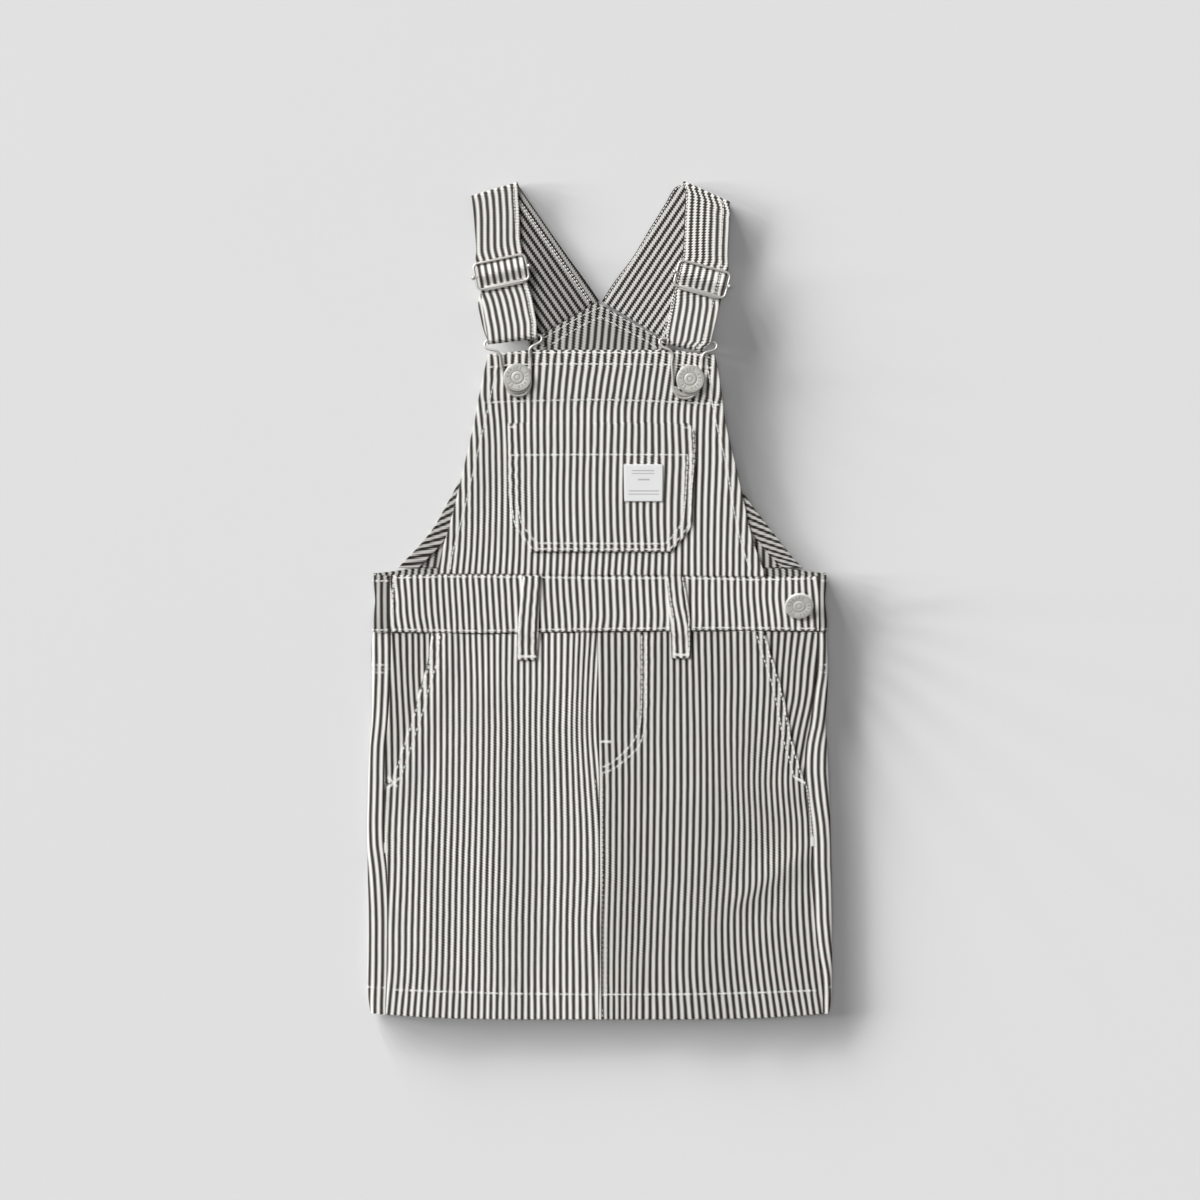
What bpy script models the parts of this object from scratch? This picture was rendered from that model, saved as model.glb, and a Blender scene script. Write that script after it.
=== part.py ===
"""A small child's dungaree pinafore dress in striped cotton twill, laid flat on its back.

+X is the right of the laid dress as seen from above, +Y runs from the hem up to the straps, and +Z
rises from the surface that it lies on.  The plan is drawn in millimetres about a point on the
centre front between waist and hem, and MM and PLAN_MIDDLE bring it to metres about the middle of
the dress's own outline.
"""

import math
from typing import NamedTuple

import bmesh
import bpy
import numpy as np

MM = 0.001

# The laid dress, in millimetres.
PLAN_MIDDLE = (-0.45, 0.25)
WAIST_SEAM_Y = -19.0
YOKE_SEAM_Y = -42.0
HEM_Y = -260.0
HEM_RISE = 4.5
HEM_RISE_FROM_Y = -200.0
HALF_WIDTH = 144.0
WAIST_EASE = 30.0

# Cloth and the room between pieces.
WALL = 1.2
BAND_WALL = 1.8
STRAP_WALL = 1.4
FACING_WALL = 1.0
BIB_TOP_WALL = 2.0
LABEL_WALL = 1.0
GAP = 0.3
INNER_ROOM = 1.2
SEAM = 0.3

# Underside heights of the upper layer.
SKIRT_REST = WALL + INNER_ROOM
BAND_REST = BAND_WALL + INNER_ROOM
BIB_REST = WALL + GAP + FACING_WALL + GAP

# Steps of the grids that the pieces are made on.
FLANGE_STEPS = 2
TURN_STEPS = 6
BACK_STEPS = 10
FRONT_STEPS = 14
STRAP_STEPS = 4
SIDE_PIECE_STEPS = 3
LOOP_STEPS = 3
POCKET_STEPS = 10
LABEL_STEPS = 3
BACK_BIB_STEPS = 12
CORNER_STEPS = 4

# Hard pieces.
BUTTON_RADIUS = 8.75
SHANK_RADIUS = 3.6
BUTTON_SEGMENTS = 28
WIRE = 1.6
WIRE_SIDES = 8
SLIDER_HALF_WIDTH = 16.3
SLIDER_HALF_HEIGHT = 8.2
SLIDER_CORNER = 3.0
SLIDER_PLATE_WIDTH = 3.0
SLIDER_PLATE_THICKNESS = 1.0
SLIDER_PLATE_INSET = 1.2
KNOB_REACH = 2.6
KNOB_MIDDLE = 1.3
KNOB_RADIUS = 1.5


class Colour(NamedTuple):
    """A finish: its colour, how rough it is and whether it is metal."""

    red: float
    green: float
    blue: float
    roughness: float
    metallic: float


TWILL = Colour(0.46, 0.45, 0.43, 0.9, 0.0)
TWILL_INSIDE = Colour(0.38, 0.37, 0.36, 0.92, 0.0)
WOVEN_WHITE = Colour(0.85, 0.85, 0.84, 0.85, 0.0)
NICKEL = Colour(0.52, 0.50, 0.47, 0.42, 1.0)


class SkirtRow(NamedTuple):
    """Where one level of the skirt has its side folds, side seams and centre front."""

    y: float
    left_fold: float
    left_seam: float
    centre: float
    right_seam: float
    right_fold: float


SKIRT = [
    SkirtRow(-19.0, -141.0, -130.0, -1.5, 134.6, 140.0),
    SkirtRow(-30.0, -142.0, -130.0, -1.5, 134.6, 140.5),
    SkirtRow(-42.0, -141.6, -130.2, -1.4, 134.2, 141.0),
    SkirtRow(-60.0, -141.4, -131.0, -1.2, 132.0, 140.5),
    SkirtRow(-75.0, -141.6, -132.0, -1.0, 130.4, 139.6),
    SkirtRow(-90.0, -142.9, -133.6, -0.8, 127.6, 140.5),
    SkirtRow(-105.0, -143.6, -134.0, -0.6, 127.0, 141.2),
    SkirtRow(-120.0, -144.0, -134.0, -0.5, 128.2, 141.9),
    SkirtRow(-140.0, -144.4, -134.0, -0.4, 130.0, 142.5),
    SkirtRow(-165.0, -144.3, -133.0, -0.3, 132.0, 143.0),
    SkirtRow(-190.0, -143.8, -132.0, -0.3, 132.6, 143.5),
    SkirtRow(-215.0, -143.9, -132.0, -0.4, 134.8, 143.5),
    SkirtRow(-238.0, -144.2, -132.4, -0.6, 137.8, 143.5),
    SkirtRow(-251.0, -143.6, -132.9, -0.8, 138.0, 143.0),
    SkirtRow(-260.0, -142.2, -133.0, -1.0, 138.0, 141.4),
]


class MouthPoint(NamedTuple):
    """A level of the two slanted pocket mouths."""

    y: float
    left: float
    right: float


POCKET_MOUTH = [
    MouthPoint(-19.0, -104.5, 101.5),
    MouthPoint(-40.0, -107.5, 108.0),
    MouthPoint(-55.0, -112.0, 112.6),
    MouthPoint(-70.0, -116.0, 115.8),
    MouthPoint(-85.0, -121.0, 118.6),
    MouthPoint(-100.0, -126.0, 123.0),
    MouthPoint(-112.0, -130.2, 126.2),
]
MOUTH_END_Y = -112.0
MOUTH_JOINS_SEAM_Y = -118.0
SIDE_PIECE_REACH = 8.0
SIDE_PIECE_END_Y = -113.0
SIDE_PIECE_LEVELS = (-19, -30, -42, -60, -75, -90, -105, SIDE_PIECE_END_Y)
LIFT_FADE = 14.0
LIFT_MARGIN = 1.2
UPPER_LEVELS = (-19, -30, -42, -55, -70, -85, -100, -112, -118)
LOWER_LEVELS = (-130, -150, -172, -195, -218, -240, -252, -260)


class BandPoint(NamedTuple):
    """A place along the front waistband."""

    x: float
    top: float
    bottom: float


FRONT_BAND = [
    BandPoint(-130.0, 15.9, -19.2),
    BandPoint(-100.0, 16.4, -19.6),
    BandPoint(-75.0, 16.4, -20.0),
    BandPoint(-45.0, 16.2, -19.4),
    BandPoint(0.0, 15.6, -18.8),
    BandPoint(45.0, 15.6, -18.4),
    BandPoint(80.0, 14.8, -18.2),
    BandPoint(110.0, 14.8, -18.4),
    BandPoint(135.0, 15.4, -18.6),
]
BAND_LEFT_SEAM = -130.3
BAND_RIGHT_SEAM = 135.4
BACK_BAND_TOP = 20.2
SIDE_BAND_TOP = 17.4
FLANGE_BAND_TOP = 15.9
BAND_FALL_FROM_X = 112.0
BAND_FALL_RUN = 28.0
BAND_STEPS = 20
BAND_SHARES = (0.0, 0.14, 0.33, 0.5, 0.67, 0.86, 1.0)


class BandFold(NamedTuple):
    """The side folds of the waistband at one height."""

    y: float
    left: float
    right: float


BAND_FOLDS = [
    BandFold(-19.0, -141.2, 140.2),
    BandFold(-14.0, -141.5, 140.5),
    BandFold(-6.0, -140.5, 139.8),
    BandFold(0.0, -139.6, 139.1),
    BandFold(7.0, -140.2, 139.6),
    BandFold(14.0, -141.1, 140.1),
    BandFold(20.2, -140.6, 139.6),
]


class EdgePoint(NamedTuple):
    """A level of a piece with a left and a right edge."""

    y: float
    left: float
    right: float


BIB_EDGES = [
    EdgePoint(16.0, -101.0, 102.6),
    EdgePoint(25.0, -99.5, 98.8),
    EdgePoint(35.0, -97.0, 95.2),
    EdgePoint(46.0, -93.7, 92.2),
    EdgePoint(57.0, -90.9, 89.8),
    EdgePoint(70.0, -87.6, 86.9),
    EdgePoint(84.0, -84.4, 83.7),
    EdgePoint(98.0, -81.1, 80.3),
    EdgePoint(112.0, -77.8, 77.2),
    EdgePoint(125.0, -75.6, 75.5),
    EdgePoint(140.0, -72.4, 73.3),
    EdgePoint(152.5, -69.8, 70.9),
]
BIB_TOP_Y = 155.3
BIB_CORNER_DROP = 2.8
BIB_CORNER_FROM_X = 40.0
BIB_CORNER_RUN = 32.0
BIB_LEVELS = (16, 25, 36, 47, 59, 72, 86, 99, 112, 122, 126, 137, 147, 152.5)
BIB_HEM_Y = 124.3
BIB_HEM_STEP = 4.0

ARMHOLE = [
    EdgePoint(20.5, -125.5, 125.5),
    EdgePoint(26.0, -120.2, 119.8),
    EdgePoint(32.0, -114.4, 115.0),
    EdgePoint(44.0, -104.4, 105.6),
    EdgePoint(60.0, -95.2, 93.4),
    EdgePoint(77.0, -86.0, 82.6),
    EdgePoint(95.0, -75.0, 73.0),
    EdgePoint(112.0, -65.0, 63.0),
    EdgePoint(130.0, -55.0, 52.5),
    EdgePoint(147.0, -47.8, 44.6),
    EdgePoint(160.0, -45.0, 41.4),
]
BACK_NECK_Y = 185.0
BACK_SHOULDER_Y = 160.0
NECK_RISE_FROM_Y = 90.0
FACING_WIDTH = 13.0
FACING_TOP_Y = 149.0
FACING_LEVELS = (20.5, 26, 32, 44, 60, 77, 95, 112, 130, FACING_TOP_Y)

POCKET_EDGES = [
    EdgePoint(30.5, -43.5, 44.0),
    EdgePoint(36.0, -47.2, 48.4),
    EdgePoint(41.0, -50.6, 53.0),
    EdgePoint(46.5, -54.2, 56.2),
    EdgePoint(56.0, -55.8, 57.2),
    EdgePoint(70.0, -57.4, 57.8),
    EdgePoint(82.0, -57.3, 58.8),
    EdgePoint(94.0, -57.2, 59.2),
    EdgePoint(106.0, -57.4, 57.4),
    EdgePoint(110.0, -57.5, 54.5),
]
LABEL_EDGES = [
    EdgePoint(61.5, 14.7, 38.3),
    EdgePoint(73.0, 14.5, 38.5),
    EdgePoint(84.5, 14.3, 38.5),
]

LEFT_LOOP = [
    EdgePoint(-36.5, -51.8, -39.0),
    EdgePoint(-30.0, -51.6, -38.8),
    EdgePoint(-25.5, -51.3, -38.5),
    EdgePoint(-21.0, -51.1, -38.3),
    EdgePoint(-12.0, -50.8, -38.1),
    EdgePoint(0.0, -49.6, -37.6),
    EdgePoint(15.6, -47.8, -36.7),
]
RIGHT_LOOP = [
    EdgePoint(-35.5, 44.0, 55.6),
    EdgePoint(-30.0, 43.8, 55.9),
    EdgePoint(-25.5, 43.7, 56.0),
    EdgePoint(-20.5, 43.5, 55.8),
    EdgePoint(-10.0, 42.8, 55.3),
    EdgePoint(0.0, 41.2, 54.0),
    EdgePoint(15.6, 39.2, 51.5),
]
LOOP_LEAVES_BAND_Y = -21.5


class Fold(NamedTuple):
    """A soft ridge of the front, or a trough where its height is negative."""

    x0: float
    y0: float
    x1: float
    y1: float
    half_width: float
    height: float


FOLDS = [
    Fold(86, -184, 122, -160, 11, 1.3),
    Fold(-18, -24, -17, -72, 8, 1.1),
    Fold(-72, -60, -64, -232, 20, 1.2),
    Fold(60, -84, 64, -236, 18, 1.1),
    Fold(-110, -150, -104, -250, 10, 0.8),
    Fold(106, -205, 103, -256, 10, 0.9),
    Fold(-34, -110, -36, -236, 12, -0.7),
    Fold(28, -120, 30, -250, 12, -0.6),
    Fold(88, -60, 92, -140, 9, 0.6),
    Fold(-92, -40, -98, -120, 9, 0.6),
    Fold(-118, -14, -116, 12, 9, 0.5),
    Fold(112, -12, 114, 12, 9, 0.5),
    Fold(0, 40, 0, 104, 40, 0.8),
    Fold(-80, 60, -74, 112, 7, 0.5),
    Fold(80, 58, 74, 108, 7, 0.5),
]


class StrapRow(NamedTuple):
    """One section across a strap: its two edges in plan and the height of the cloth's middle."""

    left_x: float
    left_y: float
    right_x: float
    right_y: float
    z: float


FLAT = STRAP_WALL / 2
LEFT_STRAP_BACK = [
    StrapRow(-44.8, 160.7, -0.7, 185.9, FLAT),
    StrapRow(-50.0, 177.0, -8.6, 198.0, FLAT),
    StrapRow(-57.0, 195.0, -19.6, 211.5, FLAT),
    StrapRow(-64.0, 213.0, -30.4, 228.5, FLAT),
    StrapRow(-71.0, 230.0, -40.2, 244.5, FLAT),
    StrapRow(-76.6, 243.5, -47.4, 254.6, FLAT),
]
LEFT_STRAP_ABOVE = [
    StrapRow(-79.2, 245.0, -51.0, 253.0, 3.0),
    StrapRow(-78.3, 236.0, -50.4, 243.5, 2.7),
    StrapRow(-77.6, 227.0, -49.8, 233.5, 2.5),
    StrapRow(-77.0, 217.0, -49.2, 223.5, 2.4),
]
LEFT_STRAP_BELOW = [
    StrapRow(-73.2, 184.5, -42.8, 189.5, 4.3),
    StrapRow(-71.9, 175.0, -40.9, 179.5, 5.0),
    StrapRow(-70.4, 166.0, -39.4, 170.5, 5.7),
]
LEFT_STRAP_TAIL = [
    StrapRow(-71.0, 165.0, -40.0, 169.4, 2.4),
    StrapRow(-73.4, 175.0, -41.6, 179.5, 2.4),
    StrapRow(-75.0, 184.5, -43.6, 190.0, 2.4),
]
RIGHT_STRAP_BACK = [
    StrapRow(0.7, 185.9, 41.2, 161.2, FLAT),
    StrapRow(8.8, 198.0, 48.0, 178.0, FLAT),
    StrapRow(20.0, 213.0, 55.2, 195.5, FLAT),
    StrapRow(30.2, 230.0, 62.4, 212.0, FLAT),
    StrapRow(40.0, 246.5, 70.4, 228.5, FLAT),
    StrapRow(48.0, 257.0, 77.0, 240.5, FLAT),
]
RIGHT_STRAP_ABOVE = [
    StrapRow(52.6, 254.0, 80.3, 240.8, 3.0),
    StrapRow(52.2, 243.0, 79.8, 233.0, 2.7),
    StrapRow(51.7, 231.0, 79.3, 223.5, 2.5),
    StrapRow(51.3, 220.0, 78.8, 213.0, 2.4),
]
RIGHT_STRAP_BELOW = [
    StrapRow(44.8, 186.0, 73.2, 181.0, 4.3),
    StrapRow(42.9, 176.0, 71.4, 173.0, 5.0),
    StrapRow(41.2, 167.0, 69.0, 165.0, 5.7),
]
RIGHT_STRAP_TAIL = [
    StrapRow(41.0, 166.5, 67.8, 164.6, 2.4),
    StrapRow(42.4, 176.0, 70.0, 173.0, 2.4),
    StrapRow(44.0, 186.0, 72.2, 181.0, 2.4),
]


class WeaveRow(NamedTuple):
    """A section of strap inside a slider: how far up the slider it is and its middle's height."""

    up: float
    z: float


FRONT_WEAVE = [
    WeaveRow(10.0, 2.4),
    WeaveRow(7.1, 2.4),
    WeaveRow(4.8, 4.1),
    WeaveRow(2.2, 6.5),
    WeaveRow(0.0, 6.9),
    WeaveRow(-2.2, 6.5),
    WeaveRow(-4.4, 5.1),
    WeaveRow(-6.4, 4.1),
    WeaveRow(-10.2, 4.1),
]
TAIL_WEAVE = [
    WeaveRow(-8.0, 2.4),
    WeaveRow(-4.0, 2.7),
]
STRAP_HALF_IN_SLIDER = 14.4
SHOULDER_TURN = 1.2
CLIP_TURN = WIRE / 2 + GAP + STRAP_WALL / 2
CLIP_BAR_Z = FLAT + STRAP_WALL + GAP + CLIP_TURN


class FoldLine(NamedTuple):
    """A straight line in plan that a strap is turned over."""

    left_x: float
    left_y: float
    right_x: float
    right_y: float


LEFT_SHOULDER = FoldLine(-80.2, 251.0, -51.4, 259.7)
RIGHT_SHOULDER = FoldLine(52.8, 260.5, 80.6, 247.2)
LEFT_CLIP_FOLD = FoldLine(-69.5, 158.6, -39.1, 162.3)
RIGHT_CLIP_FOLD = FoldLine(40.0, 159.9, 66.6, 158.1)


class Placed(NamedTuple):
    """The middle and the turn in plan of a hard piece."""

    x: float
    y: float
    turn: float


LEFT_SLIDER = Placed(-61.4, 203.5, math.radians(12))
RIGHT_SLIDER = Placed(62.8, 199.0, math.radians(-15))
SLIDER_TOP_Z = FLAT + STRAP_WALL + GAP + STRAP_WALL / 2 + GAP + WIRE / 2
SLIDER_FOOT_Z = 5.7
LEFT_CLIP = Placed(-54.3, 162.9, math.radians(7))
RIGHT_CLIP = Placed(54.4, 161.4, math.radians(-4))


class ClipPoint(NamedTuple):
    """A point of the right half of the clip's wire: across, down from its bar, and raised or not."""

    across: float
    down: float
    raised: float


CLIP_HALF = [
    ClipPoint(0.0, 0.0, 0.0),
    ClipPoint(7.5, 0.0, 0.0),
    ClipPoint(14.5, 0.0, 0.0),
    ClipPoint(16.9, 0.6, 0.0),
    ClipPoint(17.9, 2.5, 0.25),
    ClipPoint(16.9, 4.6, 0.55),
    ClipPoint(14.2, 5.9, 0.8),
    ClipPoint(11.3, 6.9, 1.0),
    ClipPoint(9.6, 8.6, 1.0),
    ClipPoint(9.1, 11.5, 1.0),
    ClipPoint(9.3, 15.0, 1.0),
    ClipPoint(8.8, 19.0, 1.0),
    ClipPoint(8.0, 25.0, 1.0),
    ClipPoint(7.4, 30.0, 1.0),
    ClipPoint(6.0, 33.4, 1.0),
    ClipPoint(3.3, 35.6, 1.0),
]
CLIP_LENGTH = 36.2


class Button(NamedTuple):
    """The middle of a button's cap and how far it leans towards the hem."""

    x: float
    y: float
    lean: float


BIB_TOP_FACE = BIB_REST + BIB_TOP_WALL
CLIP_WIRE_Z = BIB_TOP_FACE + GAP + WIRE / 2
BIB_CAP_Z = CLIP_WIRE_Z + WIRE / 2 + GAP
WAIST_CAP_LIFT = 4.9
WAIST_CAP_Z = BAND_REST + BAND_WALL + WAIST_CAP_LIFT
LEFT_BUTTON = Button(-51.2, 138.0, 0.0)
RIGHT_BUTTON = Button(55.5, 137.0, 0.0)
WAIST_BUTTON = Button(122.5, -1.5, math.radians(28))


class RingPoint(NamedTuple):
    """A point of a button cap's profile: share of its radius and height over its lower face."""

    share: float
    height: float


CAP_PROFILE = [
    RingPoint(0.93, 0.0),
    RingPoint(1.0, 0.45),
    RingPoint(1.0, 1.1),
    RingPoint(0.93, 1.6),
    RingPoint(0.60, 1.75),
    RingPoint(0.52, 1.45),
    RingPoint(0.46, 1.75),
    RingPoint(0.26, 2.0),
    RingPoint(0.0, 2.0),
]


def smooth(table, column, at):
    """A column of a table read at a level, with a cubic whose slopes come from its neighbours."""
    order = sorted(table, key=lambda row: row[0])
    knots = np.array([row[0] for row in order], float)
    values = np.array([getattr(row, column) for row in order], float)
    slopes = np.gradient(values, knots)
    at = min(max(at, knots[0]), knots[-1])
    i = min(max(int(np.searchsorted(knots, at)) - 1, 0), len(knots) - 2)
    width = knots[i + 1] - knots[i]
    t = (at - knots[i]) / width
    return float(
        values[i] * (2 * t**3 - 3 * t**2 + 1)
        + slopes[i] * width * (t**3 - 2 * t**2 + t)
        + values[i + 1] * (3 * t**2 - 2 * t**3)
        + slopes[i + 1] * width * (t**3 - t**2)
    )


def lerp(a, b, t):
    """The value a share t of the way from a to b."""
    return a + (b - a) * t


def ease(t):
    """0 below 0, 1 above 1 and a soft step between."""
    t = min(max(t, 0.0), 1.0)
    return t * t * (3 - 2 * t)


def relief(x, y):
    """How far the soft folds raise the front of the dress at a place."""
    total = 0.0
    for fold in FOLDS:
        along = ((x - fold.x0) * (fold.x1 - fold.x0) + (y - fold.y0) * (fold.y1 - fold.y0)) / (
            (fold.x1 - fold.x0) ** 2 + (fold.y1 - fold.y0) ** 2
        )
        along = min(max(along, 0.0), 1.0)
        away = math.hypot(x - lerp(fold.x0, fold.x1, along), y - lerp(fold.y0, fold.y1, along))
        total += fold.height * math.exp(-((away / fold.half_width) ** 2))
    return total


def pocket_lift(x, y):
    """How far the side pieces under the pocket mouths raise the front."""
    left_end = smooth(POCKET_MOUTH, "left", y) + SIDE_PIECE_REACH
    right_end = smooth(POCKET_MOUTH, "right", y) - SIDE_PIECE_REACH
    beside = min(x - left_end, right_end - x) - LIFT_MARGIN
    fade = 1.0 - ease(beside / LIFT_FADE)
    lower = 1.0 - ease((SIDE_PIECE_END_Y - LIFT_MARGIN - y) / LIFT_FADE)
    return (WALL + GAP) * fade * lower


def skirt_under(x, y):
    """Underside of the front skirt."""
    return SKIRT_REST + relief(x, y) + pocket_lift(x, y)


def band_under(x, y):
    """Underside of the front waistband."""
    return BAND_REST + relief(x, y)


def bib_under(x, y):
    """Underside of the bib."""
    return BIB_REST + relief(x, y)


def bib_wall(y):
    """The bib is doubled above the row of stitching that holds its hem."""
    return lerp(WALL, BIB_TOP_WALL, ease((y - BIB_HEM_Y) / BIB_HEM_STEP + 0.5))


def on_skirt(x, y):
    """A place of the skirt moved to follow the waist seam and the rising corners of the hem."""
    down = min(max((HEM_RISE_FROM_Y - y) / (HEM_RISE_FROM_Y - HEM_Y), 0.0), 1.0)
    near_waist = 1.0 - ease((WAIST_SEAM_Y - y) / WAIST_EASE)
    waist = (smooth(FRONT_BAND, "bottom", x) - WAIST_SEAM_Y) * near_waist
    return y + HEM_RISE * down**2 * abs(x / HALF_WIDTH) ** 4 + waist


def material_for(name, colour):
    """A material of its own for a piece."""
    material = bpy.data.materials.new(name)
    material.use_nodes = True
    shader = material.node_tree.nodes["Principled BSDF"]
    shader.inputs["Base Color"].default_value = (colour.red, colour.green, colour.blue, 1.0)
    shader.inputs["Roughness"].default_value = colour.roughness
    shader.inputs["Metallic"].default_value = colour.metallic
    return material


def add_piece(name, mesh_data, colour, smooth_angle):
    """Closes a bmesh into an object with its faces out, triangulated and shaded smooth but for edges."""
    bmesh.ops.recalc_face_normals(mesh_data, faces=mesh_data.faces)
    bmesh.ops.triangulate(mesh_data, faces=mesh_data.faces)
    mesh = bpy.data.meshes.new(name)
    mesh_data.to_mesh(mesh)
    mesh_data.free()
    mesh.shade_smooth()
    mesh.set_sharp_from_angle(angle=math.radians(smooth_angle))
    mesh.materials.append(material_for(name, colour))
    piece = bpy.data.objects.new(name, mesh)
    bpy.context.scene.collection.objects.link(piece)
    return piece


def to_metres(point):
    """A plan point in millimetres as a place in metres about the dress's middle."""
    return (
        (point[0] - PLAN_MIDDLE[0]) * MM,
        (point[1] - PLAN_MIDDLE[1]) * MM,
        point[2] * MM,
    )


def grid_faces(target, grid, forward):
    """Quads over a grid of vertices."""
    for row in range(len(grid) - 1):
        for column in range(len(grid[0]) - 1):
            quad = [
                grid[row][column],
                grid[row][column + 1],
                grid[row + 1][column + 1],
                grid[row + 1][column],
            ]
            target.faces.new(quad if forward else quad[::-1])


def wall_piece(name, outer, inner, colour):
    """A wall of cloth between two grids of points with the same rows and columns."""
    target = bmesh.new()
    over = [[target.verts.new(to_metres(p)) for p in row] for row in outer]
    under = [[target.verts.new(to_metres(p)) for p in row] for row in inner]
    grid_faces(target, over, True)
    grid_faces(target, under, False)
    rows = len(over)
    columns = len(over[0])
    rim = [(0, c) for c in range(columns)]
    rim += [(r, columns - 1) for r in range(1, rows)]
    rim += [(rows - 1, c) for c in range(columns - 2, -1, -1)]
    rim += [(r, 0) for r in range(rows - 2, 0, -1)]
    for (r0, c0), (r1, c1) in zip(rim, rim[1:] + rim[:1]):
        target.faces.new([over[r0][c0], under[r0][c0], under[r1][c1], over[r1][c1]])
    return add_piece(name, target, colour, 50)


def lying_panel(name, plan, under, wall, colour):
    """A panel that lies on what is below it: plan rows of (x, y), with its underside and wall there."""
    inner = [[(x, y, under(x, y)) for x, y in row] for row in plan]
    outer = [[(x, y, under(x, y) + wall(x, y)) for x, y in row] for row in plan]
    return wall_piece(name, outer, inner, colour)


def plan_rows(edges, levels, steps):
    """Rows of plan points between the left and right edges of a table."""
    rows = []
    for y in levels:
        left = smooth(edges, "left", y)
        right = smooth(edges, "right", y)
        rows.append([(lerp(left, right, i / steps), y) for i in range(steps + 1)])
    return rows


def wrapped_section(left_seam, left_fold, right_fold, right_seam, height, wall):
    """Outer and inner points (x, z) from the left seam round under the back to the right seam."""
    radius = height / 2
    left_middle = left_fold + radius
    right_middle = right_fold - radius
    outer = []
    inner = []
    for i in range(FLANGE_STEPS):
        x = lerp(left_seam, left_middle, i / FLANGE_STEPS)
        outer.append((x, height))
        inner.append((x, height - wall))
    for i in range(TURN_STEPS + 1):
        angle = math.pi / 2 + math.pi * i / TURN_STEPS
        for points, reach in ((outer, radius), (inner, radius - wall)):
            points.append((left_middle + reach * math.cos(angle), radius + reach * math.sin(angle)))
    for i in range(1, BACK_STEPS):
        x = lerp(left_middle, right_middle, i / BACK_STEPS)
        outer.append((x, 0.0))
        inner.append((x, wall))
    for i in range(TURN_STEPS + 1):
        angle = -math.pi / 2 + math.pi * i / TURN_STEPS
        for points, reach in ((outer, radius), (inner, radius - wall)):
            points.append((right_middle + reach * math.cos(angle), radius + reach * math.sin(angle)))
    for i in range(1, FLANGE_STEPS + 1):
        x = lerp(right_middle, right_seam, i / FLANGE_STEPS)
        outer.append((x, height))
        inner.append((x, height - wall))
    return outer, inner


def skirt_wrap(name, levels, colour):
    """A stretch of the back skirt, which wraps round both sides to the side seams."""
    outer = []
    inner = []
    for y in levels:
        section = wrapped_section(
            smooth(SKIRT, "left_seam", y),
            smooth(SKIRT, "left_fold", y),
            smooth(SKIRT, "right_fold", y),
            smooth(SKIRT, "right_seam", y),
            SKIRT_REST + WALL,
            WALL,
        )
        outer.append([(x, on_skirt(x, y), z) for x, z in section[0]])
        inner.append([(x, on_skirt(x, y), z) for x, z in section[1]])
    return wall_piece(name, outer, inner, colour)


def build_back_skirt():
    """The back yoke and the back skirt below it."""
    skirt_wrap("back_yoke", (WAIST_SEAM_Y - SEAM, -30.0, YOKE_SEAM_Y + SEAM / 2), TWILL)
    levels = [YOKE_SEAM_Y - SEAM / 2] + [row.y for row in SKIRT if row.y < YOKE_SEAM_Y]
    skirt_wrap("skirt_back", levels, TWILL)


def front_edge(y, side):
    """The outer edge of a front skirt panel: along the pocket mouth, then down the side seam."""
    sign = -1 if side == "left" else 1
    seam = smooth(SKIRT, side + "_seam", y) - sign * SEAM
    mouth = smooth(POCKET_MOUTH, side, y)
    blend = ease((MOUTH_END_Y - y) / (MOUTH_END_Y - MOUTH_JOINS_SEAM_Y))
    return lerp(mouth, seam, blend)


def build_front_skirt():
    """The two front panels and the side pieces seen in the pocket mouths."""
    for side, sign in (("left", -1), ("right", 1)):
        rows = []
        for level in UPPER_LEVELS + LOWER_LEVELS:
            y = min(level, WAIST_SEAM_Y - SEAM)
            centre = smooth(SKIRT, "centre", y) + sign * SEAM / 2
            edge = front_edge(y, side)
            row = [lerp(edge, centre, i / FRONT_STEPS) for i in range(FRONT_STEPS + 1)]
            rows.append([(x, on_skirt(x, y)) for x in row])
        lying_panel("skirt_front_" + side, rows, skirt_under, lambda x, y: WALL, TWILL)

        rows = []
        for level in SIDE_PIECE_LEVELS:
            y = min(level, WAIST_SEAM_Y - SEAM)
            seam = smooth(SKIRT, side + "_seam", y) - sign * SEAM
            end = smooth(POCKET_MOUTH, side, y) - sign * SIDE_PIECE_REACH
            row = [lerp(seam, end, i / SIDE_PIECE_STEPS) for i in range(SIDE_PIECE_STEPS + 1)]
            rows.append([(x, on_skirt(x, y)) for x in row])
        lying_panel(
            "pocket_side_" + side,
            rows,
            lambda x, y: SKIRT_REST + relief(x, y),
            lambda x, y: WALL,
            TWILL,
        )


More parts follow.
